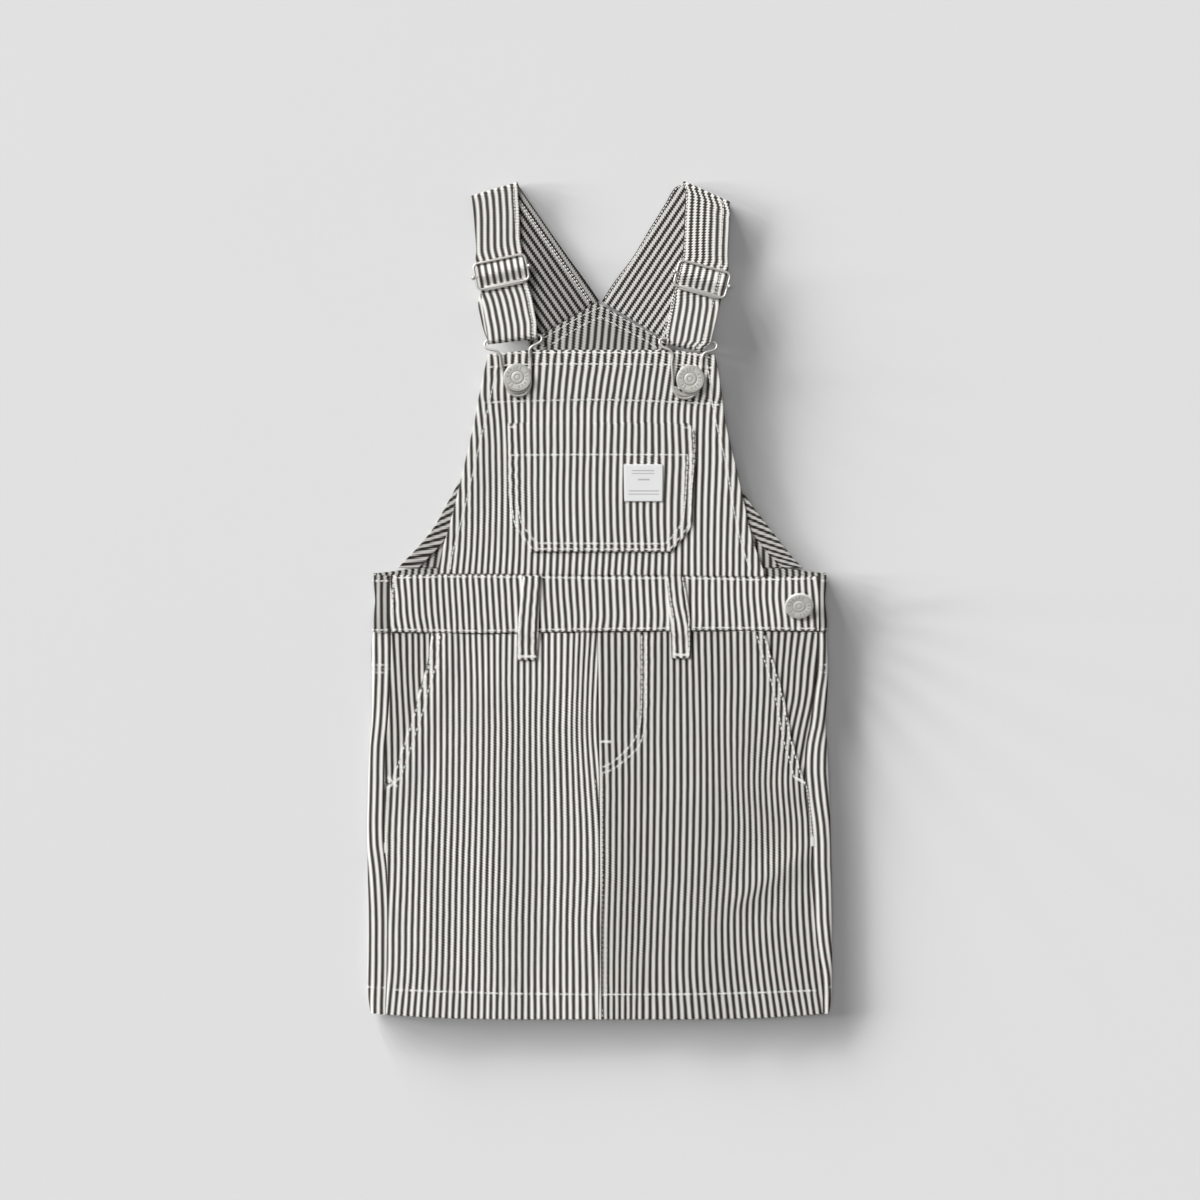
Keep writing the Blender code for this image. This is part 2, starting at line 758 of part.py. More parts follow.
def build_waistband():
    """The front band, and the back band that wraps round both sides to it."""
    rows = []
    for share in BAND_SHARES[::2]:
        row = []
        for i in range(BAND_STEPS + 1):
            x = lerp(BAND_LEFT_SEAM + SEAM, BAND_RIGHT_SEAM - SEAM, i / BAND_STEPS)
            row.append((x, lerp(smooth(FRONT_BAND, "bottom", x), smooth(FRONT_BAND, "top", x), share)))
        rows.append(row)
    lying_panel("waistband_front", rows, band_under, lambda x, y: BAND_WALL, TWILL)

    outer = []
    inner = []
    height = BAND_REST + BAND_WALL
    for share in BAND_SHARES:
        level = lerp(WAIST_SEAM_Y, SIDE_BAND_TOP, share)
        over, under = wrapped_section(
            BAND_LEFT_SEAM,
            smooth(BAND_FOLDS, "left", level),
            smooth(BAND_FOLDS, "right", level),
            BAND_RIGHT_SEAM,
            height,
            BAND_WALL,
        )
        over_row = []
        under_row = []
        for (x, z), (under_x, under_z) in zip(over, under):
            fall = ease((abs(x) - BAND_FALL_FROM_X) / BAND_FALL_RUN)
            top = lerp(lerp(BACK_BAND_TOP, SIDE_BAND_TOP, fall), FLANGE_BAND_TOP, ease(z / height))
            y = lerp(smooth(FRONT_BAND, "bottom", x), top, share)
            over_row.append((x, y, z))
            under_row.append((under_x, y, under_z))
        outer.append(over_row)
        inner.append(under_row)
    wall_piece("waistband_back", outer, inner, TWILL_INSIDE)


def build_belt_loops():
    """The two loops over the front band, sewn down on the skirt below it."""
    for side, table in (("left", LEFT_LOOP), ("right", RIGHT_LOOP)):
        rows = plan_rows(table, [row.y for row in table], LOOP_STEPS)

        def under(x, y):
            if y > LOOP_LEAVES_BAND_Y:
                return band_under(x, max(y, WAIST_SEAM_Y)) + BAND_WALL + GAP
            return skirt_under(x, y) + WALL + GAP

        lying_panel("belt_loop_" + side, rows, under, lambda x, y: WALL, TWILL)


def build_bib():
    """The bib, its pocket and the woven label on the pocket."""
    rows = plan_rows(BIB_EDGES, BIB_LEVELS, FRONT_STEPS)
    seam = [(x, smooth(FRONT_BAND, "top", x) + SEAM) for x, y in rows[0]]
    top = []
    for x, y in rows[-1]:
        corner = ease((abs(x) - BIB_CORNER_FROM_X) / BIB_CORNER_RUN)
        top.append((x, BIB_TOP_Y - BIB_CORNER_DROP * corner))
    rows[0] = seam
    rows[-1] = top
    lying_panel("bib_front", rows, bib_under, lambda x, y: bib_wall(y), TWILL)

    rows = plan_rows(POCKET_EDGES, [row.y for row in POCKET_EDGES], POCKET_STEPS)
    lying_panel(
        "bib_pocket", rows, lambda x, y: bib_under(x, y) + WALL + GAP, lambda x, y: WALL, TWILL
    )

    rows = plan_rows(LABEL_EDGES, [row.y for row in LABEL_EDGES], LABEL_STEPS)
    lying_panel(
        "pocket_label",
        rows,
        lambda x, y: bib_under(x, y) + 2 * WALL + 2 * GAP,
        lambda x, y: LABEL_WALL,
        WOVEN_WHITE,
    )


def build_back_bib():
    """The back of the bib, flat on the surface, and the facings along its armholes."""
    steps = BACK_BIB_STEPS
    rows = []
    for y in [point.y for point in ARMHOLE]:
        left = smooth(ARMHOLE, "left", y)
        right = smooth(ARMHOLE, "right", y)
        raise_share = ease((y - NECK_RISE_FROM_Y) / (BACK_SHOULDER_Y - NECK_RISE_FROM_Y))
        row = []
        for i in range(steps + 1):
            peak = 1.0 - abs(2.0 * i / steps - 1.0)
            rise = (BACK_NECK_Y - BACK_SHOULDER_Y) * peak * raise_share
            row.append((lerp(left, right, i / steps), y + rise))
        rows.append(row)
    lying_panel("back_bib", rows, lambda x, y: 0.0, lambda x, y: WALL, TWILL_INSIDE)

    for side, sign in (("left", -1), ("right", 1)):
        rows = []
        for y in FACING_LEVELS:
            edge = smooth(ARMHOLE, side, y)
            row = [edge - sign * FACING_WIDTH * share for share in (0.0, 0.5, 1.0)]
            rows.append([(x, y) for x in row])
        lying_panel(
            "armhole_facing_" + side, rows, lambda x, y: WALL + GAP, lambda x, y: FACING_WALL, TWILL_INSIDE
        )


def turned_over(line, away, radius, low_z, high_z, upward):
    """Sections of a strap round a fold line; away is 1 where the fold points up the plan, else -1."""
    across_x = line.right_x - line.left_x
    across_y = line.right_y - line.left_y
    length = math.hypot(across_x, across_y)
    out_x = -across_y / length * away
    out_y = across_x / length * away
    rows = []
    for i in range(TURN_STEPS + 1):
        angle = lerp(-math.pi / 2, math.pi / 2, i / TURN_STEPS)
        angle = angle if upward else -angle
        reach = radius * (math.cos(angle) - 1.0) - STRAP_WALL / 2
        z = lerp(low_z, high_z, (math.sin(angle) + 1.0) / 2)
        rows.append(
            StrapRow(
                line.left_x + out_x * reach,
                line.left_y + out_y * reach,
                line.right_x + out_x * reach,
                line.right_y + out_y * reach,
                z,
            )
        )
    return rows


def woven(slider, weave):
    """Sections of a strap inside a slider, square to the slider."""
    rows = []
    for row in weave:
        left = placed(slider, -STRAP_HALF_IN_SLIDER, row.up)
        right = placed(slider, STRAP_HALF_IN_SLIDER, row.up)
        rows.append(StrapRow(*left, *right, row.z))
    return rows


def hooked_end():
    """The last sections of a strap's tail, turned up round the slider's middle bar."""
    bar_z = (SLIDER_TOP_Z + SLIDER_FOOT_Z) / 2
    reach = WIRE / 2 + GAP + STRAP_WALL / 2
    return [
        WeaveRow(reach * math.cos(math.radians(degrees)), bar_z + reach * math.sin(math.radians(degrees)))
        for degrees in (-95, -65, -40)
    ]


def across_strap(row):
    """Points along the middle of one strap section, from its left edge to its right edge."""
    left = np.array((row.left_x, row.left_y, row.z))
    right = np.array((row.right_x, row.right_y, row.z))
    return [lerp(left, right, i / STRAP_STEPS) for i in range(STRAP_STEPS + 1)]


def build_straps():
    """Each strap runs from the back bib over the shoulder fold, down to the clip and back up behind."""
    straps = (
        (
            "left",
            LEFT_STRAP_BACK,
            LEFT_SHOULDER,
            LEFT_STRAP_ABOVE,
            LEFT_SLIDER,
            LEFT_STRAP_BELOW,
            LEFT_CLIP_FOLD,
            LEFT_STRAP_TAIL,
        ),
        (
            "right",
            RIGHT_STRAP_BACK,
            RIGHT_SHOULDER,
            RIGHT_STRAP_ABOVE,
            RIGHT_SLIDER,
            RIGHT_STRAP_BELOW,
            RIGHT_CLIP_FOLD,
            RIGHT_STRAP_TAIL,
        ),
    )
    for side, back, shoulder, above, slider, below, clip_fold, tail in straps:
        path = list(back)
        path += turned_over(shoulder, 1, SHOULDER_TURN, FLAT, FLAT + 2 * SHOULDER_TURN, True)
        path += above + woven(slider, FRONT_WEAVE) + below
        path += turned_over(clip_fold, -1, CLIP_TURN, CLIP_BAR_Z - CLIP_TURN, CLIP_BAR_Z + CLIP_TURN, False)
        path += tail + woven(slider, TAIL_WEAVE + hooked_end())

        middle = [across_strap(row) for row in path]
        outer = []
        inner = []
        for r, row in enumerate(middle):
            before = middle[max(r - 1, 0)]
            after = middle[min(r + 1, len(middle) - 1)]
            half = STRAP_STEPS // 2
            along = after[half] - before[half]
            across = row[-1] - row[0]
            normal = np.cross(across, along)
            normal = normal / np.linalg.norm(normal) * STRAP_WALL / 2
            outer.append([tuple(p - normal) for p in row])
            inner.append([tuple(p + normal) for p in row])
        wall_piece("strap_" + side, outer, inner, TWILL)


def placed(where, across, up):
    """A point given across and up a hard piece, as a plan point."""
    cos = math.cos(where.turn)
    sin = math.sin(where.turn)
    return (where.x + across * cos - up * sin, where.y + across * sin + up * cos)


def swept_ring(name, path, widths, colour):
    """A closed wire along a path: at each point an ellipse, wide in the plan and high along Z."""
    target = bmesh.new()
    rings = []
    count = len(path)
    for i, point in enumerate(path):
        before = np.array(path[i - 1])
        after = np.array(path[(i + 1) % count])
        along = after - before
        side = np.array((along[1], -along[0], 0.0))
        side = side / np.linalg.norm(side)
        up = np.cross(side, along)
        up = up / np.linalg.norm(up)
        wide, high = widths[i]
        ring = []
        for k in range(WIRE_SIDES):
            angle = 2 * math.pi * (k + 0.5) / WIRE_SIDES
            offset = side * wide / 2 * math.cos(angle) + up * high / 2 * math.sin(angle)
            ring.append(target.verts.new(to_metres(tuple(np.array(point) + offset))))
        rings.append(ring)
    for i in range(count):
        for k in range(WIRE_SIDES):
            a = rings[i][k]
            b = rings[i][(k + 1) % WIRE_SIDES]
            c = rings[(i + 1) % count][(k + 1) % WIRE_SIDES]
            d = rings[(i + 1) % count][k]
            target.faces.new([a, b, c, d])
    return add_piece(name, target, colour, 60)


def slider_outline():
    """The slider frame's middle line, across and up, with its flat lower bar wider than the wire."""
    points = []
    corners = (
        (1, 1, 0.0),
        (-1, 1, math.pi / 2),
        (-1, -1, math.pi),
        (1, -1, 3 * math.pi / 2),
    )
    for sign_x, sign_y, start in corners:
        middle_x = sign_x * (SLIDER_HALF_WIDTH - SLIDER_CORNER)
        middle_y = sign_y * (SLIDER_HALF_HEIGHT - SLIDER_CORNER)
        for i in range(CORNER_STEPS + 1):
            angle = start + math.pi / 2 * i / CORNER_STEPS
            points.append(
                (
                    middle_x + SLIDER_CORNER * math.cos(angle),
                    middle_y + SLIDER_CORNER * math.sin(angle),
                    (WIRE, WIRE),
                )
            )
        if (sign_x, sign_y) == (-1, -1):
            plate = (SLIDER_PLATE_WIDTH, SLIDER_PLATE_THICKNESS)
            foot = -SLIDER_HALF_HEIGHT
            half = SLIDER_HALF_WIDTH - SLIDER_CORNER - SLIDER_PLATE_INSET
            points += [(x, foot, plate) for x in (-half, -half / 2, 0.0, half / 2, half)]
    return points


def middle_bar(name, slider, bar_z):
    """The bar across the slider with a round knob at each end, turned about its own length."""
    profile = [(-SLIDER_HALF_WIDTH - KNOB_REACH, 0.0)]
    for degrees in (140, 100, 60):
        angle = math.radians(degrees)
        x = -SLIDER_HALF_WIDTH - KNOB_MIDDLE + KNOB_RADIUS * math.cos(angle)
        profile.append((x, KNOB_RADIUS * math.sin(angle)))
    profile.append((-SLIDER_HALF_WIDTH + GAP, WIRE / 2))
    profile += [(-x, radius) for x, radius in profile[::-1]]
    target = bmesh.new()
    rings = []
    for x, radius in profile:
        if radius == 0.0:
            rings.append([target.verts.new(to_metres((*placed(slider, x, 0.0), bar_z)))])
            continue
        ring = []
        for k in range(WIRE_SIDES):
            angle = 2 * math.pi * k / WIRE_SIDES
            plan = placed(slider, x, radius * math.cos(angle))
            ring.append(target.verts.new(to_metres((*plan, bar_z + radius * math.sin(angle)))))
        rings.append(ring)
    for first, second in zip(rings, rings[1:]):
        for k in range(WIRE_SIDES):
            n = (k + 1) % WIRE_SIDES
            if len(first) == 1:
                target.faces.new([first[0], second[k], second[n]])
            elif len(second) == 1:
                target.faces.new([first[k], second[0], first[n]])
            else:
                target.faces.new([first[k], second[k], second[n], first[n]])
    return add_piece(name, target, NICKEL, 60)


def build_sliders():
    """Each slider is a bent frame with a flat lower bar, and a bar through its sides fused to it."""
    for side, slider in (("left", LEFT_SLIDER), ("right", RIGHT_SLIDER)):
        path = []
        widths = []
        for across, up, width in slider_outline():
            z = lerp(SLIDER_FOOT_Z, SLIDER_TOP_Z, (up / SLIDER_HALF_HEIGHT + 1) / 2)
            path.append((*placed(slider, across, up), z))
            widths.append(width)
        frame = swept_ring("slider_" + side, path, widths, NICKEL)
        bar = middle_bar("slider_bar_guide_" + side, slider, (SLIDER_TOP_Z + SLIDER_FOOT_Z) / 2)
        bar.hide_render = True
        bar.display_type = "WIRE"
        join = frame.modifiers.new("bar", "BOOLEAN")
        join.operation = "UNION"
        join.solver = "EXACT"
        join.object = bar


def build_clips():
    """Each clip is one closed wire: a bar in the strap's fold, two shoulders and a loop round the button."""
    for side, clip in (("left", LEFT_CLIP), ("right", RIGHT_CLIP)):
        half = list(CLIP_HALF)
        outline = [(p.across, -p.down, p.raised) for p in half]
        outline.append((0.0, -CLIP_LENGTH, 1.0))
        outline += [(-p.across, -p.down, p.raised) for p in half[:0:-1]]
        path = []
        count = len(outline)
        for i in range(count):
            before, a, b, after = (np.array(outline[(i + k) % count]) for k in (-1, 0, 1, 2))
            for t in (0.0, 0.5):
                bend = 2 * before - 5 * a + 4 * b - after
                twist = 3 * a - before - 3 * b + after
                across, up, raised = 0.5 * (2 * a + (b - before) * t + bend * t**2 + twist * t**3)
                z = lerp(CLIP_BAR_Z, CLIP_WIRE_Z, raised)
                path.append((*placed(clip, across, up), z))
        swept_ring("clip_" + side, path, [(WIRE, WIRE)] * len(path), NICKEL)


def button_piece(name, button, cap_z, shank_foot_z):
    """A cap with rings on a shank, turned about its axis and leant towards the hem about its cap."""
    foot = shank_foot_z - cap_z
    profile = [(0.0, foot), (SHANK_RADIUS, foot), (SHANK_RADIUS, 0.0)]
    profile += [(p.share * BUTTON_RADIUS, p.height) for p in CAP_PROFILE]
    target = bmesh.new()
    rings = []
    for radius, height in profile:
        turns = BUTTON_SEGMENTS if radius > 0 else 1
        ring = []
        for k in range(turns):
            angle = 2 * math.pi * k / BUTTON_SEGMENTS
            x = radius * math.cos(angle)
            y = radius * math.sin(angle)
            leant_y = y * math.cos(button.lean) - height * math.sin(button.lean)
            leant_z = y * math.sin(button.lean) + height * math.cos(button.lean)
            ring.append(target.verts.new(to_metres((button.x + x, button.y + leant_y, cap_z + leant_z))))
        rings.append(ring)
    for first, second in zip(rings, rings[1:]):
        for k in range(BUTTON_SEGMENTS):
            n = (k + 1) % BUTTON_SEGMENTS
            if len(first) == 1:
                target.faces.new([first[0], second[k], second[n]])
            elif len(second) == 1:
                target.faces.new([first[k], second[0], first[n]])
            else:
                target.faces.new([first[k], second[k], second[n], first[n]])
    return add_piece(name, target, NICKEL, 35)


def build_buttons():
    """Two bib buttons that hold the clips, and the leaning waist button."""
    for name, button in (("bib_button_left", LEFT_BUTTON), ("bib_button_right", RIGHT_BUTTON)):
        foot = bib_under(button.x, button.y) + BIB_TOP_WALL + GAP
        button_piece(name, button, BIB_CAP_Z, foot)
    foot = BAND_REST + BAND_WALL + relief(WAIST_BUTTON.x, WAIST_BUTTON.y) + GAP
    slope = SHANK_RADIUS * math.sin(WAIST_BUTTON.lean)
    drop = (WAIST_CAP_Z - foot - slope) / math.cos(WAIST_BUTTON.lean)
    button_piece("waist_button", WAIST_BUTTON, WAIST_CAP_Z, WAIST_CAP_Z - drop)


def main():
    """Clears the scene and builds every piece."""
    for old in list(bpy.data.objects):
        bpy.data.objects.remove(old, do_unlink=True)
    build_back_skirt()
    build_front_skirt()
    build_waistband()
    build_belt_loops()
    build_bib()
    build_back_bib()
    build_straps()
    build_sliders()
    build_clips()
    build_buttons()


main()
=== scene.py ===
# %% [markdown]
# # A small child's striped pinafore dress, laid flat
#
# The dress is cut from hickory-stripe cotton twill: a skirt with slanted pockets, a waistband with
# two belt loops, a bib with a patch pocket, and straps that fold over at the shoulder and run
# through wire sliders to wire clips on tack buttons.  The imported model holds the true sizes.  Here
# every piece of cloth is made again as a fine shell on the same form, with its stripes, seams and
# stitches, and the fittings are made again as smooth metal.
#
# All plans are drawn in millimetres, +X to the right and +Y up towards the straps, about a point on
# the centre front.

# %% Load the frame
import math

import bpy
import numpy as np
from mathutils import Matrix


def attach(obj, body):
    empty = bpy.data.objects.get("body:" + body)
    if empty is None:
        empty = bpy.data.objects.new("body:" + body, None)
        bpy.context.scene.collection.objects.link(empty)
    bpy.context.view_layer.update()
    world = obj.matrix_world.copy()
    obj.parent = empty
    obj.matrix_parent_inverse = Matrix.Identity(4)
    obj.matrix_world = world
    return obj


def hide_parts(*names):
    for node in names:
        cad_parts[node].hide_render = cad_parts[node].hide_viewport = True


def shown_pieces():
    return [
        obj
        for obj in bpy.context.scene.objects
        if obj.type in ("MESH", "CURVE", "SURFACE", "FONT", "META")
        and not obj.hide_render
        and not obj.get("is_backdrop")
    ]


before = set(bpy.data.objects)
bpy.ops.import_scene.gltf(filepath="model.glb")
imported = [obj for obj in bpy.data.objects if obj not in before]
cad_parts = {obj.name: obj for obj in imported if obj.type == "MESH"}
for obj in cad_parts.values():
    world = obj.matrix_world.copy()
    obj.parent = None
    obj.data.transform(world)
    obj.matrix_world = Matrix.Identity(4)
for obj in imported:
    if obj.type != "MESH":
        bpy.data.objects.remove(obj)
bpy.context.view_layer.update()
MM = 0.001
PLAN_MIDDLE = np.array((-0.45, 0.25, 0.0))

# %% [markdown]
# ## How the shapes are written down
#
# A garment's outline is a few sizes at a few heights with smooth curves between, as on a paper
# pattern.  `Shape` holds such a table and reads any column at any height.  The same tool holds the
# run of the stripes: a column for a stripe's number, and where that white stripe lies at each
# height.  Cloth that is pulled or leant shows in its stripes first, so they are worth this care.

# %% Tables read through smooth curves
def lerp(a, b, t):
    """The value a share t of the way from a to b."""
    return a + (b - a) * t


def ease(t):
    """0 below 0, 1 above 1 and a soft step between."""
    t = np.clip(t, 0.0, 1.0)
    return t * t * (3 - 2 * t)


def bell(distance, half_width):
    """1 at no distance, falling softly to nothing about two half widths away."""
    return np.exp(-((distance / half_width) ** 2))


def cubic(start, end, leaving, arriving, t):
    """A curve from start to end that leaves and arrives at the given slopes."""
    return (
        start * (2 * t**3 - 3 * t**2 + 1)
        + leaving * (t**3 - 2 * t**2 + t)
        + end * (3 * t**2 - 2 * t**3)
        + arriving * (t**3 - t**2)
    )


class Shape:
    """Rows of given sizes, read at any height through a cubic curve."""

    def __init__(self, columns, *rows):
        self.columns = columns.split()
        table = np.array(sorted(rows), float)
        self.knots = table[:, 0]
        self.values = table[:, 1:]
        self.slopes = np.gradient(self.values, self.knots, axis=0)

    def __call__(self, column, at):
        c = self.columns.index(column)
        at = np.clip(np.asarray(at, float), self.knots[0], self.knots[-1])
        i = np.clip(np.searchsorted(self.knots, at) - 1, 0, len(self.knots) - 2)
        width = self.knots[i + 1] - self.knots[i]
        t = (at - self.knots[i]) / width
        slopes = self.slopes[:, c]
        return cubic(self.values[i, c], self.values[i + 1, c], slopes[i] * width, slopes[i + 1] * width, t)


print("halfway up a soft step:", float(ease(0.5)))

# %% The outlines of the pieces
WAIST_SEAM_Y = -19.0
YOKE_SEAM_Y = -42.0
HEM_Y = -259.2
HALF_WIDTH = 144.0
HEM_RISE = 4.5

SKIRT = Shape(
    "left_fold left_seam centre right_seam right_fold",
    (-19, -141.0, -130.0, -1.5, 134.6, 140.0),
    (-30, -142.0, -130.0, -1.5, 134.6, 140.5),
    (-42, -141.6, -130.2, -1.4, 134.2, 141.0),
    (-60, -141.4, -131.0, -1.2, 132.0, 140.5),
    (-75, -141.6, -132.0, -1.0, 130.4, 139.6),
    (-90, -142.9, -133.6, -0.8, 127.6, 140.5),
    (-105, -143.6, -134.0, -0.6, 127.0, 141.2),
    (-120, -144.0, -134.0, -0.5, 128.2, 141.9),
    (-140, -144.4, -134.0, -0.4, 130.5, 142.5),
    (-150, -144.4, -133.8, -0.4, 131.0, 142.7),
    (-165, -144.3, -132.6, -0.3, 130.7, 143.0),
    (-190, -143.8, -131.8, -0.3, 132.6, 143.5),
    (-215, -143.9, -132.0, -0.4, 134.8, 143.5),
    (-238, -144.2, -132.4, -0.6, 137.8, 143.5),
    (-251, -143.6, -132.9, -0.8, 138.0, 143.0),
    (-260, -142.2, -133.0, -1.0, 138.0, 141.4),
)
MOUTH = Shape(
    "left right",
    (-19, -104.5, 101.5),
    (-40, -107.5, 108.0),
    (-55, -112.0, 112.6),
    (-70, -116.0, 115.8),
    (-85, -121.0, 118.6),
    (-100, -126.0, 123.0),
    (-112, -130.2, 126.2),
)
MOUTH_END_Y = -112.0
MOUTH_JOINS_SEAM_Y = -118.0
SIDE_PIECE_REACH = 8.0
SIDE_PIECE_END_Y = -113.0
POCKET_SLOPE = 14.0
BAND = Shape(
    "top bottom",
    (-130, 15.9, -19.2),
    (-100, 16.4, -19.6),
    (-75, 16.4, -20.0),
    (-45, 16.2, -19.4),
    (0, 15.6, -18.8),
    (45, 15.6, -18.4),
    (80, 14.8, -18.2),
    (110, 14.8, -18.4),
    (135, 15.4, -18.6),
)
BAND_HEIGHT = 34.6
BACK_BAND_HEIGHT = 36.4
BAND_LEFT_SEAM = -130.3
BAND_RIGHT_SEAM = 135.4
BACK_BAND_TOP = 20.2
SIDE_BAND_TOP = 17.4
FLANGE_BAND_TOP = 15.9
BAND_FOLDS = Shape(
    "left right",
    (-19, -141.2, 140.2),
    (-14, -141.5, 140.5),
    (-6, -140.5, 139.8),
    (0, -139.6, 139.1),
    (7, -140.2, 139.6),
    (14, -141.1, 140.1),
    (20.2, -140.6, 139.6),
)
BIB = Shape(
    "left right",
    (16, -101.0, 102.6),
    (25, -99.5, 98.8),
    (35, -97.0, 95.2),
    (46, -93.7, 92.2),
    (57, -90.9, 89.8),
    (70, -87.6, 86.9),
    (84, -84.4, 83.7),
    (98, -81.1, 80.3),
    (112, -77.8, 77.2),
    (125, -75.6, 75.5),
    (140, -72.4, 73.3),
    (152.5, -69.8, 70.9),
)
BIB_TOP_Y = 155.3
BIB_HEM_Y = 124.3
ARMHOLE = Shape(
    "left right",
    (20.5, -125.5, 125.5),
    (26, -120.2, 119.8),
    (32, -114.4, 115.0),
    (44, -104.4, 105.6),
    (60, -95.2, 93.4),
    (77, -86.0, 82.6),
    (95, -75.0, 73.0),
    (112, -65.0, 63.0),
    (130, -55.0, 52.5),
    (147, -47.8, 44.6),
    (160, -45.0, 41.4),
)
ARMHOLE_LOW = 20.5
BACK_NECK_Y = 185.0
BACK_SHOULDER_Y = 160.0
NECK_RISE_FROM_Y = 90.0
FACING_WIDTH = 13.0
FACING_TOP_Y = 149.0
POCKET = Shape(
    "left right",
    (30.5, -43.5, 44.0),
    (36, -47.2, 48.4),
    (41, -50.6, 53.0),
    (46.5, -54.2, 56.2),
    (56, -55.8, 57.2),
    (70, -57.4, 57.8),
    (82, -57.3, 58.8),
    (94, -57.2, 59.2),
    (106, -57.4, 57.4),
    (110, -57.5, 54.5),
)
LABEL = Shape("left right", (61.5, 14.7, 38.3), (73, 14.5, 38.5), (84.5, 14.3, 38.5))
LEFT_LOOP = Shape(
    "left right",
    (-36.5, -51.8, -39.0),
    (-30, -51.6, -38.8),
    (-25.5, -51.3, -38.5),
    (-21, -51.1, -38.3),
    (-12, -50.8, -38.1),
    (0, -49.6, -37.6),
    (15.6, -47.8, -36.7),
)
RIGHT_LOOP = Shape(
    "left right",
    (-35.5, 44.0, 55.6),
    (-30, 43.8, 55.9),
    (-25.5, 43.7, 56.0),
    (-20.5, 43.5, 55.8),
    (-10, 42.8, 55.3),
    (0, 41.2, 54.0),
    (15.6, 39.2, 51.5),
)
print("outlines set for", 10, "pieces")

# %% The run of the stripes
STRIPE = 4.05
SKIRT_LEFT_RUN = Shape(
    "3 9 15 21 27 31 34",
    (-20, -126.0, -100.7, -79.0, -56.2, -33.9, -18.0, -7.8),
    (-50, -124.8, -100.5, -78.0, -56.6, -34.0, -18.7, -9.3),
    (-80, -123.4, -100.5, -77.9, -56.1, -34.7, -19.4, -9.9),
    (-110, -123.4, -100.7, -78.2, -56.5, -34.2, -18.7, -8.3),
    (-140, -124.7, -101.5, -78.8, -56.6, -33.9, -18.0, -6.5),
    (-170, -125.2, -102.4, -79.7, -57.1, -33.9, -18.1, -6.2),
    (-200, -126.3, -102.9, -80.2, -58.0, -34.4, -18.9, -7.3),
    (-230, -126.8, -103.7, -80.7, -58.0, -34.8, -18.8, -6.6),
    (-258, -129.3, -105.4, -81.5, -58.3, -34.5, -18.7, -6.2),
)
SKIRT_RIGHT_RUN = Shape(
    "0 5 8 13 18 24 28 31",
    (-20, 7.2, 27.9, 39.8, 58.6, 78.7, 103.3, 119.3, 131.0),
    (-50, 7.5, 27.8, 39.8, 59.4, 79.1, 103.5, 118.0, 129.5),
    (-80, 7.4, 27.5, 39.5, 60.0, 78.8, 102.1, 116.5, 127.5),
    (-110, 8.0, 27.4, 39.7, 60.1, 79.4, 100.3, 114.3, 124.6),
    (-140, 7.9, 27.1, 39.3, 59.6, 80.1, 101.6, 116.2, 127.0),
    (-170, 7.7, 26.5, 38.7, 58.8, 78.8, 102.0, 115.7, 126.7),
    (-200, 6.9, 25.6, 37.4, 57.7, 77.1, 100.2, 115.6, 127.8),
    (-230, 6.5, 24.5, 36.8, 57.4, 78.3, 102.7, 118.5, 130.7),
    (-258, 6.6, 24.1, 37.3, 59.6, 81.3, 106.6, 123.0, 134.6),
)
SIDE_LEFT_RUN = Shape(
    "0 2 4",
    (-20, -126.2, -118.0, -110.8),
    (-50, -124.8, -117.5, -110.2),
    (-80, -123.4, -115.6, -108.5),
    (-115, -123.2, -115.8, -108.4),
)
SIDE_RIGHT_RUN = Shape(
    "0 2 5",
    (-20, 133.6, 125.0, 112.4),
    (-40, 131.2, 122.6, 111.0),
    (-60, 129.1, 121.1, 109.4),
    (-80, 125.0, 117.2, 106.0),
    (-115, 119.0, 111.0, 99.0),
)
BAND_RUN = Shape(
    "3 8 12 16 20 23 27 31 36 40 45 50 55 60 63 69",
    (-18, -128.0, -108.2, -94.0, -79.0, -63.2, -51.9, -35.3, -19.2,
     -0.8, 17.0, 37.3, 57.2, 78.1, 98.7, 110.7, 134.9),
    (-9, -129.2, -109.8, -94.4, -79.4, -63.9, -52.3, -35.8, -19.6,
     0.2, 17.2, 37.7, 57.5, 77.8, 97.9, 109.9, 134.4),
    (0, -129.5, -110.5, -95.0, -79.9, -64.4, -52.7, -36.3, -20.4,
     0.0, 16.8, 37.2, 57.4, 77.3, 97.0, 108.8, 133.8),
    (14, -131.3, -111.1, -95.8, -80.8, -65.2, -53.5, -36.8, -21.3,
     -0.7, 16.2, 36.5, 57.5, 77.0, 96.6, 109.0, 132.5),
)
